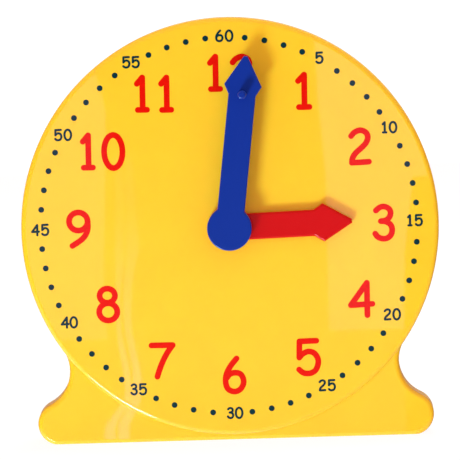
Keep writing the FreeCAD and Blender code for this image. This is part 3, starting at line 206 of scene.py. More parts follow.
def polished_abs(name, face, painted_wall_shading, roughness, sink, peel, soak, mirror=0.5, sheen=CLEAR):
    """Glossy coloured ABS: face is the resin's colour, the next colour is painted wall shading.

    sink and peel are heights in millimetres. mirror is the strength of its reflections and
    sheen their tint.
    """
    material, tree = new_material(name)
    where = add(tree, "ShaderNodeTexCoord").outputs["Object"]
    normal = add(tree, "ShaderNodeNewGeometry").outputs["True Normal"]
    across = add(tree, "ShaderNodeSeparateXYZ", {0: normal}).outputs["Y"]
    facing = add(tree, "ShaderNodeMath", {0: across}, operation="ABSOLUTE").outputs[0]
    # The walls mask blends in the painted wall shading, which stands in for how light falls on the
    # walls.
    walls = mapped(tree, facing, *PAINTED_WALL_TO_FACE, 1.0, 0.0)
    body = blended(tree, walls, from_hex(face), from_hex(painted_wall_shading))
    sunk = bumped(tree, noise(tree, where, SINK_WAVE, 0.0), 1.0, sink)
    peeled = bumped(tree, noise(tree, where, PEEL_WAVE, 1.0), 1.0, peel, sunk)
    shader = add(
        tree,
        "ShaderNodeBsdfPrincipled",
        {
            "Base Color": clouded(tree, body, flow_marks(tree, where), 0.975, 1.02),
            "Roughness": mapped(tree, facing, *WALL_TO_ROUNDING, WALL_ROUGHNESS, roughness),
            "IOR": ABS_IOR,
            "Specular IOR Level": mirror,
            "Specular Tint": sheen,
            "Subsurface Weight": soak,
            "Subsurface Radius": SOAK_COLOUR,
            "Subsurface Scale": SOAK_DEPTH * MM,
            "Normal": peeled,
        },
    )
    finish_material(tree, shader)
    return material


# The second colour of each is painted wall shading: a shade deeper on the yellow, brighter on the
# red and blue.
yellow_abs = polished_abs("polished_yellow_abs", "#FFCD30", "#FFC92E", 0.02, 0.004, 0.00006, 0.35)
blue_abs = polished_abs(
    "polished_blue_abs", "#123196", "#1036A6", 0.1, 0.008, 0.0004, 0.0, 0.35, BLUE_SHEEN
)
red_abs = polished_abs("polished_red_abs", "#CE0507", "#F60806", 0.22, 0.008, 0.0004, 0.0, 0.2)
dress(yellow_abs, "front_housing")
dress(blue_abs, "minute_hand")
dress(red_abs, "hour_hand")

# %% [markdown]
# ## Spark-eroded ABS: the back cover
#
# The cover is the same yellow resin, but the back half of such a mould is left with the fine
# grain that spark erosion gives, which hides fingerprints. The grain is about 0.3 mm across.

# %% ABS from a grained mould
GRAIN = 0.3


def grained_abs(name, face):
    """Coloured ABS with a fine matt grain."""
    material, tree = new_material(name)
    where = add(tree, "ShaderNodeTexCoord").outputs["Object"]
    grain = noise(tree, where, GRAIN, 2.0)
    shader = add(
        tree,
        "ShaderNodeBsdfPrincipled",
        {
            "Base Color": clouded(tree, from_hex(face), flow_marks(tree, where), 0.96, 1.03),
            "Roughness": uneven(tree, grain, 0.36, 0.5),
            "IOR": ABS_IOR,
            "Normal": bumped(tree, grain, 0.6, 0.02),
        },
    )
    finish_material(tree, shader)
    return material


dress(grained_abs("grained_yellow_abs", "#FBC830"), "back_cover")

# %% [markdown]
# ## Natural acetal and nylon: the gears, the bridge and the washers
#
# Gears that must run without oil are moulded in acetal, which is milky white and a little waxy.
# The bridge is polypropylene, about as white, and the washers are nylon, a shade creamier.
# Light soaks in a little way, so some subsurface scattering softens the teeth.

# %% Waxy engineering plastics
CLOUD_WAVE = 6.0
WAXY_IOR = 1.48


def waxy_plastic(name, face, roughness, depth):
    """Translucent moulded resin. depth is how far light spreads in it, in millimetres."""
    material, tree = new_material(name)
    where = add(tree, "ShaderNodeTexCoord").outputs["Object"]
    cloud = noise(tree, where, CLOUD_WAVE, 3.0)
    shader = add(
        tree,
        "ShaderNodeBsdfPrincipled",
        {
            "Base Color": clouded(tree, from_hex(face), cloud, 0.95, 1.03),
            "Roughness": uneven(tree, cloud, roughness - 0.05, roughness + 0.07),
            "IOR": WAXY_IOR,
            "Subsurface Weight": 0.15,
            "Subsurface Radius": (1.0, 0.9, 0.8),
            "Subsurface Scale": depth * MM,
            "Normal": bumped(tree, cloud, 0.4, 0.02),
        },
    )
    finish_material(tree, shader)
    return material


acetal = waxy_plastic("natural_acetal", "#EFEDE6", 0.35, 0.8)
nylon = waxy_plastic("natural_nylon", "#E6E0CE", 0.4, 0.6)
dress(acetal, "hour_wheel", "compound_gear", "minute_pinion")
dress(waxy_plastic("white_polypropylene", "#EDEDE8", 0.42, 0.8), "gear_bridge")
dress(nylon, "thrust_washer", "spacer_washer", "front_pin_washer", "back_pin_washer")

# %% [markdown]
# ## The metals: screws, pins, spring and ring
#
# The screws are zinc plated, with a bright but slightly cloudy coat. The pin and the arbor are
# ground, which leaves fine rings round them. The spring is blued and the push-on ring has a
# dark phosphate coat. A metal has no colour of its own under the surface: the base colour is
# the colour of its reflections, and the roughness tells one finish from another.


# %% Metals
def metal(name, face, roughness, wave, stretch, spread):
    """A metal with a fine pattern. stretch draws the pattern out along X, Y and Z."""
    material, tree = new_material(name)
    where = add(tree, "ShaderNodeTexCoord").outputs["Object"]
    drawn = add(tree, "ShaderNodeMapping", {"Vector": where, "Scale": stretch}).outputs[0]
    marks = noise(tree, drawn, wave, 3.0)
    shader = add(
        tree,
        "ShaderNodeBsdfPrincipled",
        {
            "Base Color": clouded(tree, from_hex(face), marks, 0.88, 1.05),
            "Metallic": 1.0,
            "Roughness": uneven(tree, marks, roughness - spread, roughness + spread),
            "Normal": bumped(tree, marks, 0.3, 0.01),
        },
    )
    finish_material(tree, shader)
    return material


EVEN = (1.0, 1.0, 1.0)
RINGS = (0.05, 1.0, 0.05)  # rings round a pin that lies along Y
zinc = metal("zinc_plated_steel", "#C9CBCF", 0.36, 0.8, EVEN, 0.06)
ground = metal("ground_steel", "#B9BABD", 0.25, 0.15, RINGS, 0.08)
blued = metal("blued_spring_steel", "#4A4F5C", 0.3, 1.5, EVEN, 0.06)
phosphated = metal("phosphated_steel", "#55565A", 0.48, 0.4, EVEN, 0.08)
dress(zinc, "cover_screws", "bridge_screws")
dress(ground, "compound_pin", "minute_arbor")
dress(blued, "drag_spring")
dress(phosphated, "retaining_ring")

# %% [markdown]
# ## Pad-printing ink
#
# The numbers and dots are pad printed: a silicone pad lays down a film of ink a few hundredths
# of a millimetre thick. The film reflects less than the polished plastic, its density varies a
# little, and it stands just proud of the dial.

# %% Ink
INK_WAVE = 0.9
INK_IOR = 1.5


def pad_ink(name, face, roughness, sheen):
    """Ink film. sheen tints its reflections."""
    material, tree = new_material(name)
    where = add(tree, "ShaderNodeTexCoord").outputs["Object"]
    film = noise(tree, where, INK_WAVE, 3.0)
    shader = add(
        tree,
        "ShaderNodeBsdfPrincipled",
        {
            "Base Color": clouded(tree, from_hex(face), film, 0.93, 1.04),
            "Roughness": roughness,
            "IOR": INK_IOR,
            "Specular IOR Level": 0.3,
            "Specular Tint": sheen,
            "Normal": bumped(tree, film, 0.2, 0.01),
        },
    )
    finish_material(tree, shader)
    return material


red_ink = pad_ink("red_pad_ink", "#E61306", 0.04, (1.0, 1.0, 0.7, 1.0))
dark_ink = pad_ink("dark_teal_pad_ink", "#03333C", 0.05, (0.8, 1.0, 0.9, 1.0))

# %% [markdown]
# ## Where the print sits
#
# The dial is printed in one blow, and the printing jig never lines up exactly: on this clock
# the whole print is turned 0.6 degrees clockwise and stands a fraction of a millimetre off the
# pivot. A point of the print is given in millimetres from its centre, X to the right and Y up.

# %% Print to dial
PRINT_TURN = math.radians(-0.6)
PRINT_SHIFT = (-0.20, 0.33)
INK_THICK = 0.03
INK_BITE = 0.005  # the ink keys into the plastic this far
FILM_DEPTH = INK_THICK + INK_BITE


def on_dial(x, y, lift=0.0):
    """A point of the print, in metres, lifted off the dial by lift millimetres."""
    turned_x = x * math.cos(PRINT_TURN) - y * math.sin(PRINT_TURN) + PRINT_SHIFT[0]
    turned_y = x * math.sin(PRINT_TURN) + y * math.cos(PRINT_TURN) + PRINT_SHIFT[1]
    return Vector((PIVOT.x + turned_x * MM, DIAL_Y - lift * MM, PIVOT.z + turned_y * MM))


# %% [markdown]
# ## The figures as pen strokes
#
# The figures are a plain rounded hand: every one is a pen line of even width with round ends.
# So each figure is stored as the middle lines of its strokes, which is also how a sign writer
# would think of it. A smooth curve runs through the points of a bowed stroke. A straight
# stroke goes from point to point, and so does an oval, whose points lie close together. The
# figures are drawn 38.3 units high and scaled to their place.

# %% The ten figures
FIGURE_HEIGHT = 38.3


def oval(cx, cy, rx, ry, count=24):
    """A closed loop, as points."""
    return [
        (cx + rx * math.sin(2 * math.pi * i / count), cy + ry * math.cos(2 * math.pi * i / count))
        for i in range(count + 1)
    ]


STRAIGHT, BOWED = "straight", "bowed"
FIGURES = {
    "0": [(STRAIGHT, oval(0, 0, 9.2, 16.6))],
    "1": [
        (STRAIGHT, [(-5.6, 9.9), (0.6, 16.1), (0.4, -16.1)]),
        (STRAIGHT, [(-5.1, -16.1), (5.3, -16.1)]),
    ],
    "2": [
        (
            BOWED,
            [(-8.7, 10.5), (-5.3, 14.1), (0.4, 16.1), (5.7, 14.1), (7.9, 9.4), (6.1, 3.6),
             (1.4, -1.4), (-4.3, -6.4), (-7.6, -11.4), (-8.4, -16.1)],
        ),
        (STRAIGHT, [(-8.4, -16.1), (0, -15.9), (8.6, -15.4)]),
    ],
    "3": [
        (
            BOWED,
            [(-7.3, 12.2), (-3.7, 15.1), (0.6, 16.1), (5.3, 14.1), (7.3, 10.1), (5.9, 5.1),
             (2.0, 2.2), (-2.6, 1.5)],
        ),
        (
            BOWED,
            [(-2.6, 1.5), (2.7, 0.8), (7.0, -2.1), (8.6, -7.1), (7.0, -12.8), (2.7, -15.8),
             (-2.3, -15.8), (-6.1, -13.9), (-8.4, -10.9)],
        ),
    ],
    "4": [
        (STRAIGHT, [(5.7, -16.4), (5.7, 16.1), (-10.6, -6.1), (10.9, -5.1)]),
    ],
    "5": [
        (STRAIGHT, [(8.2, 16.3), (-8.7, 15.9), (-9.1, -0.4)]),
        (
            BOWED,
            [(-9.1, -0.4), (-5.4, 3.4), (0.1, 5.6), (5.8, 3.9), (9.4, -1.6), (9.5, -7.3),
             (6.9, -13.3), (2.2, -16.1), (-2.8, -16.4), (-6.4, -15.1), (-9.5, -12.4)],
        ),
    ],
    "6": [
        (
            BOWED,
            [(2.4, 16.7), (-3.1, 10.1), (-7.1, 3.4), (-8.9, -3.0), (-8.6, -9.4), (-6.1, -14.4),
             (-0.2, -16.6), (5.5, -14.4), (8.8, -8.7), (8.5, -3.0), (5.5, 1.3), (0.5, 2.4),
             (-4.5, 1.0), (-8.0, -3.0)],
        ),
    ],
    "7": [
        (STRAIGHT, [(-10.6, 15.6), (10.6, 15.6)]),
        (BOWED, [(10.6, 15.6), (5.1, 8.1), (0.1, -1.2), (-3.1, -9.1), (-5.4, -15.9)]),
    ],
    "8": [
        (STRAIGHT, oval(-0.6, 8.9, 7.7, 7.1)),
        (STRAIGHT, oval(0, -7.4, 9.1, 8.7)),
    ],
    "9": [
        (STRAIGHT, oval(-0.1, 7.4, 9.3, 9.1)),
        (BOWED, [(9.3, 7.4), (9.1, -0.5), (6.4, -6.9), (1.4, -11.9), (-6.5, -16.9)]),
    ],
}
print("figures:", ", ".join(sorted(FIGURES)))

# %% [markdown]
# ## From pen stroke to ink
#
# The pen's track is a row of quads between the left and right edge of the stroke. A wedge fills
# the gap where the line turns gently, and a disc rounds each end and corner. They all overlap,
# so a constrained Delaunay triangulation merges them: it returns, for each small triangle,
# which of the input faces cover it, and a triangle that any of them covers is ink. The flat
# shape is then given a bottom and side walls, which makes it a closed film.


# %% Curves through points
def smooth(points, steps=5):
    """A smooth curve through the points, as a list of points."""
    ends = [2 * Vector(points[0]) - Vector(points[1]), 2 * Vector(points[-1]) - Vector(points[-2])]
    knots = [ends[0], *map(Vector, points), ends[1]]
    line = []
    for a, b, c, d in zip(knots, knots[1:], knots[2:], knots[3:]):
        leave = (c - a) / 2
        arrive = (d - b) / 2
        for i in range(steps):
            t = i / steps
            line.append(
                b * (2 * t**3 - 3 * t**2 + 1)
                + leave * (t**3 - 2 * t**2 + t)
                + c * (3 * t**2 - 2 * t**3)
                + arrive * (t**3 - t**2)
            )
    return line + [Vector(points[-1])]


# %% Outline of one stroke
DISC_SIDES = 18
STRAIGHT_ON = 0.001  # radians
GENTLE_TURN = 0.35  # radians


def disc(centre, radius):
    """A disc with a few sides, as points."""
    turns = [2 * math.pi * k / DISC_SIDES for k in range(DISC_SIDES)]
    return [centre + Vector((radius * math.cos(t), radius * math.sin(t))) for t in turns]


def stroke_faces(line, half):
    """The quads, wedges and discs that a pen of this half width covers along a line."""
    faces, sides = [], []
    for a, b in zip(line, line[1:]):
        along = (b - a).normalized() * half
        side = Vector((-along.y, along.x))
        sides.append(side)
        faces.append([a + side, a - side, b - side, b + side])
    for i, centre in enumerate(line):
        if 0 < i < len(line) - 1:
            before, after = sides[i - 1], sides[i]
            turn = before.angle(after)
            if turn < STRAIGHT_ON:
                continue
            if turn < GENTLE_TURN:
                if before.cross(after) > 0:
                    faces.append([centre, centre - before, centre - after])
                else:
                    faces.append([centre, centre + after, centre + before])
                continue
        faces.append(disc(centre, half))
    return faces


# %% Merge the strokes of a figure
def figure_triangles(digit, height, pen, widen=1.0):
    """Flat triangles of one figure round its own centre, in millimetres."""
    scale = height / FIGURE_HEIGHT
    faces = []
    for kind, points in FIGURES[digit]:
        placed = [Vector((x * scale * widen, y * scale)) for x, y in points]
        line = smooth(placed) if kind == BOWED else placed
        faces += stroke_faces(line, pen / 2)
    corners = [corner for face in faces for corner in face]
    indices, start = [], 0
    for face in faces:
        indices.append(list(range(start, start + len(face))))
        start += len(face)
    points, _, triangles, _, _, covered = delaunay_2d_cdt(corners, [], indices, 1, 1e-5)
    return points, [t for t, owners in zip(triangles, covered) if owners]


# %% [markdown]
# ## The hour figures and the minute labels
#
# The large red figures are about 9.3 mm high and stand upright. They don't stand exactly on
# a circle: whoever drew the artwork moved each by eye, so each has its own place. The small
# dark labels count minutes and are 2.9 mm high.

# %% Print table
HOUR_HEIGHT = 9.33
HOUR_PEN = 1.42
HOUR_FIGURES = [
    ("1", -2.57, 37.23, 0.88), ("2", 3.85, 37.11, 1.0),
    ("1", 18.85, 32.42, 1.0), ("2", 32.23, 18.67, 1.0), ("3", 37.58, 0.03, 1.0),
    ("4", 31.89, -18.48, 1.0), ("5", 18.72, -32.45, 1.0), ("6", 0.61, -36.53, 1.0),
    ("7", -16.89, -32.68, 1.0), ("8", -29.85, -18.66, 1.0), ("9", -36.61, -0.05, 1.0),
    ("1", -33.89, 18.76, 0.88), ("0", -27.72, 18.63, 1.0),
    ("1", -20.42, 32.53, 0.88), ("1", -14.54, 32.41, 0.88),
]
LABEL_HEIGHT = 2.92
LABEL_PEN = 0.54
LABEL_WIDEN = {"0": 1.15, "6": 1.1}
MINUTE_LABELS = [
    ("60", -0.18, 46.14, 2.36), ("5", 22.78, 40.37, 0.00), ("10", 39.28, 23.18, 2.05),
    ("15", 45.09, 0.47, 2.16), ("20", 39.29, -22.39, 2.23), ("25", 23.15, -39.44, 2.29),
    ("30", 0.49, -45.81, 2.11), ("35", -22.89, -39.57, 2.21), ("40", -39.39, -22.86, 2.12),
    ("45", -45.94, -0.12, 2.36), ("50", -39.85, 22.90, 2.31), ("55", -22.92, 40.22, 2.29),
]


# %% Lay the ink down
def ink_film(name, placed, material):
    """One closed film of ink from figures: (points, triangles, x, y), on the dial."""
    ink = bmesh.new()
    for points, triangles, x, y in placed:
        verts = {}
        flat = []
        for triangle in triangles:
            for i in triangle:
                if i not in verts:
                    verts[i] = ink.verts.new(on_dial(x + points[i].x, y + points[i].y, INK_THICK))
            flat.append(ink.faces.new([verts[i] for i in triangle]))
        down = bmesh.ops.extrude_face_region(ink, geom=flat, use_keep_orig=True)
        sunk = [v for v in down["geom"] if isinstance(v, bmesh.types.BMVert)]
        bmesh.ops.translate(ink, verts=sunk, vec=(0, FILM_DEPTH * MM, 0))
    bmesh.ops.recalc_face_normals(ink, faces=ink.faces)
    mesh = bpy.data.meshes.new(name)
    ink.to_mesh(mesh)
    ink.free()
    mesh.materials.append(material)
    piece = place(name, mesh)
    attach(piece, "case")
    print(name, len(mesh.polygons), "faces")


hour_print = [
    (*figure_triangles(digit, HOUR_HEIGHT, HOUR_PEN, widen), x, y)
    for digit, x, y, widen in HOUR_FIGURES
]
ink_film("hour_figures", hour_print, red_ink)

label_print = []
for text, x, y, pitch in MINUTE_LABELS:
    for index, digit in enumerate(text):
        offset = (index - (len(text) - 1) / 2) * pitch
        widen = LABEL_WIDEN.get(digit, 1.0)
        label_print.append(
            (*figure_triangles(digit, LABEL_HEIGHT, LABEL_PEN, widen), x + offset, y)
        )
ink_film("minute_labels", label_print, dark_ink)

# %% [markdown]
# ## The minute dots
#
# A dot marks each minute, except every fifth, where a label stands. A rule like that is a job
# for Geometry Nodes: a circle of 60 points, a test that drops every fifth, and a small disc on
# each point that is left. The tree's inputs are the sizes that a printer would ask for.

# %% Node tree of the dots
DOT_RING = 45.84
DOT_RADIUS = 0.71
DOT_SIDES = 24
tree = bpy.data.node_groups.new("minute_dots", "GeometryNodeTree")
for name, value in (
    ("Ring radius", DOT_RING * MM),
    ("Dot radius", DOT_RADIUS * MM),
    ("Film", FILM_DEPTH * MM),
):
    socket = tree.interface.new_socket(name, in_out="INPUT", socket_type="NodeSocketFloat")
    socket.default_value = value
for name, value in (("Minutes", 60), ("Label every", 5)):
    socket = tree.interface.new_socket(name, in_out="INPUT", socket_type="NodeSocketInt")
    socket.default_value = value
tree.interface.new_socket("Dots", in_out="OUTPUT", socket_type="NodeSocketGeometry")
given = add(tree, "NodeGroupInput").outputs
ring = add(
    tree, "GeometryNodeMeshCircle", {"Vertices": given["Minutes"], "Radius": given["Ring radius"]}
)
number = add(tree, "GeometryNodeInputIndex").outputs[0]
left_over = add(
    tree, "ShaderNodeMath", {0: number, 1: given["Label every"]}, operation="MODULO"
).outputs[0]
has_dot = add(
    tree, "ShaderNodeMath", {0: left_over, 1: 0.5}, operation="GREATER_THAN"
).outputs[0]
dot = add(
    tree,
    "GeometryNodeMeshCylinder",
    {"Vertices": DOT_SIDES, "Radius": given["Dot radius"], "Depth": given["Film"]},
)
laid = add(
    tree,
    "GeometryNodeInstanceOnPoints",
    {"Points": ring.outputs[0], "Selection": has_dot, "Instance": dot.outputs[0]},
)
real = add(tree, "GeometryNodeRealizeInstances", {0: laid.outputs[0]})
inked = add(
    tree, "GeometryNodeSetMaterial", {"Geometry": real.outputs[0], "Material": dark_ink}
)
add(tree, "NodeGroupOutput", {"Dots": inked.outputs[0]})

# %% Evaluate the dots into a plain mesh
holder = place("minute_dots_holder", bpy.data.meshes.new("holder"))
modifier = holder.modifiers.new("Minute dots", "NODES")
modifier.node_group = tree
for item in tree.interface.items_tree:
    if item.item_type == "SOCKET" and item.in_out == "INPUT":
        modifier[item.identifier] = item.default_value
seen = holder.evaluated_get(bpy.context.evaluated_depsgraph_get())
dots_mesh = bpy.data.meshes.new_from_object(seen)
bpy.data.objects.remove(holder)
for vertex in dots_mesh.vertices:
    lift = INK_THICK - FILM_DEPTH / 2 + vertex.co.z / MM
    vertex.co = on_dial(vertex.co.x / MM, vertex.co.y / MM, lift)
dots = place("minute_dots", dots_mesh)
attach(dots, "case")
dot_count = len(dots_mesh.vertices) // (2 * DOT_SIDES)
print("minute dots:", dot_count, "with", len(dots_mesh.polygons), "faces")

# %% [markdown]
# ## Camera
#
# The view is a product shot with a long lens from 0.8 m, almost square on and a little above
# the clock, so the top wall just shows. The camera is rolled by nearly two degrees.

# %% Place the camera
CAMERA_PLACE = (15.0, -808.8, 104.0)
# The lens and the sensor are in millimetres too, and the two directions are unit vectors.
LENS = 256.93
SENSOR_WIDTH = 36.0
LOOK = (-0.018729, 0.997665, -0.065681)
PICTURE_RIGHT = (0.999371, 0.016703, -0.031269)
camera_data = bpy.data.cameras.new("camera")
camera = place("camera", camera_data)
bpy.context.scene.camera = camera
camera_data.lens = LENS
camera_data.sensor_width = SENSOR_WIDTH
camera_data.clip_end = 20.0
camera.location = Vector(CAMERA_PLACE) * MM
look = Vector(LOOK).normalized()
right = Vector(PICTURE_RIGHT)
right = (right - look * right.dot(look)).normalized()
up = right.cross(look)
camera.matrix_world = Matrix.Translation(camera.location) @ Matrix(
    (right, up, -look)
).transposed().to_4x4()
print("camera at", [round(v / MM) for v in camera.location], "mm")

# %% [markdown]
# ## Floor and backdrop
#
# A sheet of paper lies under the clock and rises behind it in one sweep, as in a small product
# studio. Its own tone is a light grey, so it throws little light back on the clock. To the
# camera it glows just enough to read as white, and the floor keeps a part of its own shading,
# so the clock's shadow still lies on it.

# %% Paper sweep
PULP_WAVE = 2.0
PAPER_TONE = (0.61, 0.63)
PAPER_GLOW = 1.22
HALF_WIDTH = 3.0  # the sheets' sizes are in metres
FRONT_Y = -3.0
BACK_Y = 1.4
SWEEP_RADIUS = 0.5
TOP_Z = 3.0
WHITE = (1.0, 1.0, 1.0, 1.0)


def paper(name, keep, mirrored):
    """Paper that glows for the camera. keep is the share of its own shading that stays.

    mirrored is 1 where the paper is as bright in a polished surface as to the camera.
    """
    material, tree = new_material(name)
    where = add(tree, "ShaderNodeTexCoord").outputs["Object"]
    tone = uneven(tree, noise(tree, where, PULP_WAVE, 3.0), *PAPER_TONE)
    matt = add(tree, "ShaderNodeBsdfDiffuse", {"Color": tone})
    bright = add(tree, "ShaderNodeEmission", {"Color": WHITE, "Strength": PAPER_GLOW})
    rays = add(tree, "ShaderNodeLightPath").outputs
    glossy = add(
        tree, "ShaderNodeMath", {0: rays["Is Glossy Ray"], 1: mirrored}, operation="MULTIPLY"
    ).outputs[0]
    seen_by = add(
        tree, "ShaderNodeMath", {0: rays["Is Camera Ray"], 1: glossy}, operation="MAXIMUM"
    ).outputs[0]
    share = add(
        tree, "ShaderNodeMath", {0: seen_by, 1: 1 - keep}, operation="MULTIPLY"
    ).outputs[0]
    seen = add(
        tree, "ShaderNodeMixShader", {0: share, 1: matt.outputs[0], 2: bright.outputs[0]}
    )
    finish_material(tree, seen)
    return material


def sheet_of_paper(name, profile, material):
    """A sheet swept along X from a profile of (y, z) points, in metres."""
    mesh = bpy.data.meshes.new(name)
    verts = [(x, y, z) for y, z in profile for x in (-HALF_WIDTH, HALF_WIDTH)]
    faces = [(2 * i, 2 * i + 1, 2 * i + 3, 2 * i + 2) for i in range(len(profile) - 1)]
    mesh.from_pydata(verts, [], faces)
    mesh.materials.append(material)
    sheet = place(name, mesh)
    return sheet


sweep = [
    (BACK_Y + SWEEP_RADIUS * math.sin(a), SWEEP_RADIUS * (1 - math.cos(a)))
    for a in [math.radians(d) for d in range(0, 91, 6)]
]
floor = sheet_of_paper(
    "floor", [(FRONT_Y, 0.0), (BACK_Y, 0.0)], paper("floor_paper", 0.25, 0.0)
)
backdrop = sheet_of_paper(
    "backdrop", [*sweep, (BACK_Y + SWEEP_RADIUS, TOP_Z)], paper("backdrop_paper", 0.1, 0.12)
)
floor.visible_glossy = False
for sheet in (floor, backdrop):
    sheet.visible_shadow = False
    for polygon in sheet.data.polygons:
        polygon.use_smooth = True

# %% [markdown]
# ## Light
#
# The key is a large softbox low on the left, so the hands throw soft shadows up and to the
# right. A second softbox hangs overhead, a little behind the dial, and lights only the top of
# the case. The rest is a room that is brightest in front.
#
# What the polished dial mirrors is the studio in front of it: mostly dark, with a broad lilac
# card on either side and two narrow curtains of light left of the middle. Lilac on yellow
# plastic gives a pale yellow. Only reflections see the cards, so they shape the gloss and add
# no light. Faces that look up or down mirror a pale ceiling and a lit table top.

# %% Key light and top light
KEY_SHARE = 0.516
KEY_TINT = (0.74, 1.0, 1.045)  # a little cool, so that key and room together are white
TO_KEY = Vector((-0.62, -1.0, -0.98)).normalized()
KEY_DISTANCE = 1.1  # metres
KEY_SPREAD = 8.0  # degrees
OVERHEAD_SHARE = 0.58
OVERHEAD_TINT = (0.9, 1.0, 1.0)
TO_OVERHEAD = Vector((0.06, 0.22, 1.0)).normalized()
OVERHEAD_DISTANCE = 1.0  # metres
OVERHEAD_SPREAD = 10.0  # degrees


def softbox(name, toward, distance, spread, share, tint):
    """A round softbox that is aimed at the pivot.

    share is how much of a white sheet's full brightness it gives to a sheet that faces it, and
    spread is the half angle, in degrees, that it fills as seen from the clock.
    """
    data = bpy.data.lights.new(name, "AREA")
    data.shape = "DISK"
    data.size = 2 * distance * math.tan(math.radians(spread))
    data.energy = share * math.pi**2 * distance**2
    data.color = tint
    lamp = place(name, data)
    lamp.location = PIVOT + toward * distance
    lamp.rotation_mode = "QUATERNION"
    lamp.rotation_quaternion = toward.to_track_quat("Z", "Y")
    return lamp


softbox("key", TO_KEY, KEY_DISTANCE, KEY_SPREAD, KEY_SHARE / abs(TO_KEY.y), KEY_TINT)
overhead = softbox(
    "overhead", TO_OVERHEAD, OVERHEAD_DISTANCE, OVERHEAD_SPREAD, OVERHEAD_SHARE, OVERHEAD_TINT
)
overhead.visible_glossy = False

# %% Room
ROOM = 0.95
FRONT_OF_ROOM = 1.32  # the room's light from straight in front, and from the sides and behind
SIDE_OF_ROOM = 0.38
ROOM_TINT = (1.0, 0.71, 0.67)  # warm, as a room with wooden furniture gives it back
MIRRORED_ROOM = 0.06
MIRRORED_CEILING = 0.5
CEILING_RISE = (0.2, 0.6)  # height of a direction where the ceiling starts, and is full
MIRRORED_TABLE = (2.2, 0.8)  # at the far left and at the far right
TABLE_WIDTH = (-0.35, 0.35)
TABLE_DROP = (-0.5, -0.22)  # height of a direction where the table is full, and ends
world = bpy.data.worlds.new("studio_room")
bpy.context.scene.world = world
world.use_nodes = True
world.node_tree.nodes.clear()
tree = world.node_tree
rays = add(tree, "ShaderNodeLightPath").outputs
toward = add(tree, "ShaderNodeTexCoord").outputs["Generated"]
axes = add(tree, "ShaderNodeSeparateXYZ", {0: toward}).outputs
walls = mapped(tree, axes["Y"], -1.0, 0.0, ROOM * FRONT_OF_ROOM, ROOM * SIDE_OF_ROOM)
table = mapped(tree, axes["X"], *TABLE_WIDTH, *MIRRORED_TABLE)
low = mapped(tree, axes["Z"], *TABLE_DROP, table, MIRRORED_ROOM)
high = mapped(tree, axes["Z"], *CEILING_RISE, 0.0, MIRRORED_CEILING)
mirrored = add(tree, "ShaderNodeMath", {0: low, 1: high}, operation="MAXIMUM").outputs[0]
dull = mapped(tree, rays["Is Glossy Ray"], 0.0, 1.0, walls, mirrored)
level = add(
    tree, "ShaderNodeMix", {0: rays["Is Camera Ray"], 2: dull, 3: 1.0}, data_type="FLOAT"
).outputs[0]
tint = blended(tree, rays["Is Camera Ray"], (*ROOM_TINT, 1.0), WHITE)
lit = add(tree, "ShaderNodeBackground", {"Color": tint, "Strength": level})
add(tree, "ShaderNodeOutputWorld", {"Surface": lit.outputs[0]})

# %% [markdown]
# A card is set as in a studio: by where its reflection falls on the dial. Each
# corner is a point on the dial, in millimetres right of and above the pivot. The line from the
# camera to that point is mirrored at the dial and followed out to where the card stands.


# %% Reflector cards
CARD_DISTANCE = 1.1  # metres in front of the dial
ROOM_WALL_DISTANCE = 1.11


def mirrored_point(x, z, distance):
    """Where the camera's view of a point on the dial ends once the dial has mirrored it."""
    spot = PIVOT + Vector((x * MM, 0, z * MM))
    ray = spot - camera.location
    return spot + Vector((ray.x, -ray.y, ray.z)) * (distance / abs(ray.y))


def card(name, corners, strength, tint, distance=CARD_DISTANCE, fade=None):
    """A glowing card that only reflections see, placed by its reflection on the dial.

    fade is (foot, top, top strength): the card fades from strength at the height foot to the
    top strength at the height top, both in millimetres on the dial.
    """
    mesh = bpy.data.meshes.new(name)
    verts = [mirrored_point(x, z, distance) for x, z in corners]
    mesh.from_pydata(verts, [], [list(range(len(verts)))])
    material, tree = new_material(f"{name}_glow")
    level = strength
    if fade is not None:
        foot, top, top_strength = fade
        where = add(tree, "ShaderNodeTexCoord").outputs["Object"]
        height = add(tree, "ShaderNodeSeparateXYZ", {0: where}).outputs["Z"]
        low, high = (mirrored_point(0, z, distance).z for z in (foot, top))
        level = mapped(tree, height, low, high, strength, top_strength)
    finish_material(tree, add(tree, "ShaderNodeEmission", {"Color": tint, "Strength": level}))
    mesh.materials.append(material)
    mirrored_only(name, mesh)


def mirrored_only(name, mesh):
    """Put a piece of the studio where only polished surfaces show it."""
    piece = place(name, mesh)
    for kind in ("camera", "diffuse", "transmission", "volume_scatter", "shadow"):
        setattr(piece, f"visible_{kind}", False)


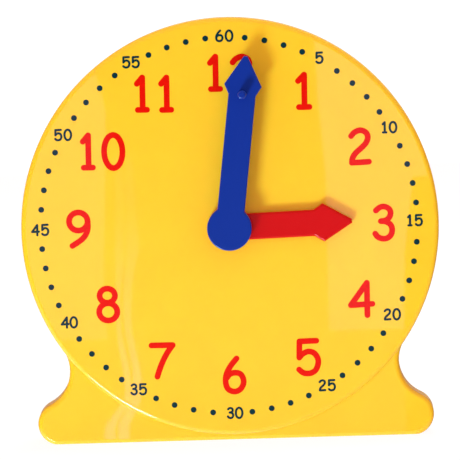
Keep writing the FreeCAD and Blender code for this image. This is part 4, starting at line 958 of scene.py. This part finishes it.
LILAC = (1.0, 0.55, 1.0, 1.0)
DEEP_LILAC = (1.0, 0.45, 1.0, 1.0)
PINKISH = (1.0, 0.9, 1.0, 1.0)
CURTAIN_FADE = (-38.0, 4.0, 0.5)
WALL_FADE = (-30.0, 34.0, 0.04)
right_card = [
    (23.4, -26.0), (23.7, 12.6), (22.3, 30.0), (21.8, 48.0), (60.0, 48.0), (60.0, 11.6),
    (44.9, 10.9), (42.4, -7.0), (41.7, -26.0),
]
left_card = [
    (-60.0, -26.0), (-60.0, 38.7), (-31.2, 37.8), (-29.3, 29.5), (-31.3, -17.0), (-30.7, -26.8),
]
curtain_left = [
    (-27.4, 18.0), (-27.6, 5.2), (-28.0, -4.6), (-28.1, -14.4), (-28.3, -24.2), (-28.0, -29.2),
    (-27.1, -34.1), (-26.7, -37.8), (-27.0, -41.5), (-32.0, -48.0), (-32.6, -56.0), (-29.9, -56.0),
    (-29.5, -48.0), (-25.7, -41.6), (-25.4, -37.9), (-25.6, -34.2), (-26.5, -29.2), (-27.3, -24.3),
    (-27.1, -14.5), (-26.1, -9.6), (-26.0, -4.7), (-25.6, 5.1), (-25.6, 18.0),
]
curtain_right = [
    (-24.9, 18.0), (-25.1, 5.1), (-25.4, -4.7), (-25.7, -9.6), (-26.3, -14.5), (-26.6, -19.4),
    (-26.3, -24.3), (-25.5, -29.3), (-24.7, -34.2), (-25.0, -37.9), (-25.3, -41.6), (-28.9, -48.0),
    (-29.2, -56.0), (-26.5, -56.0), (-26.2, -48.0), (-23.1, -41.6), (-22.7, -38.0), (-22.9, -34.3),
    (-23.9, -29.3), (-24.7, -24.4), (-24.6, -19.4), (-24.3, -14.5), (-23.5, -9.7), (-22.1, -4.8),
    (-22.7, 5.0), (-23.4, 18.0),
]
wall_of_room = [(-60, -60), (-60, 40), (41.5, 40), (41.5, -60)]
card("right_card", right_card, 1.25, LILAC)
card("left_card", left_card, 1.05, LILAC)
card("curtain_left", curtain_left, 2.6, DEEP_LILAC, fade=CURTAIN_FADE)
card("curtain_right", curtain_right, 2.6, DEEP_LILAC, fade=CURTAIN_FADE)
card("wall_of_room", wall_of_room, 0.40, PINKISH, ROOM_WALL_DISTANCE, WALL_FADE)

# %% [markdown]
# ## Last measures
#
# The picture is rendered with the plain Standard view, so a colour shows as it was written.

# %% Finish with the Standard view
bpy.context.scene.view_settings.view_transform = "Standard"
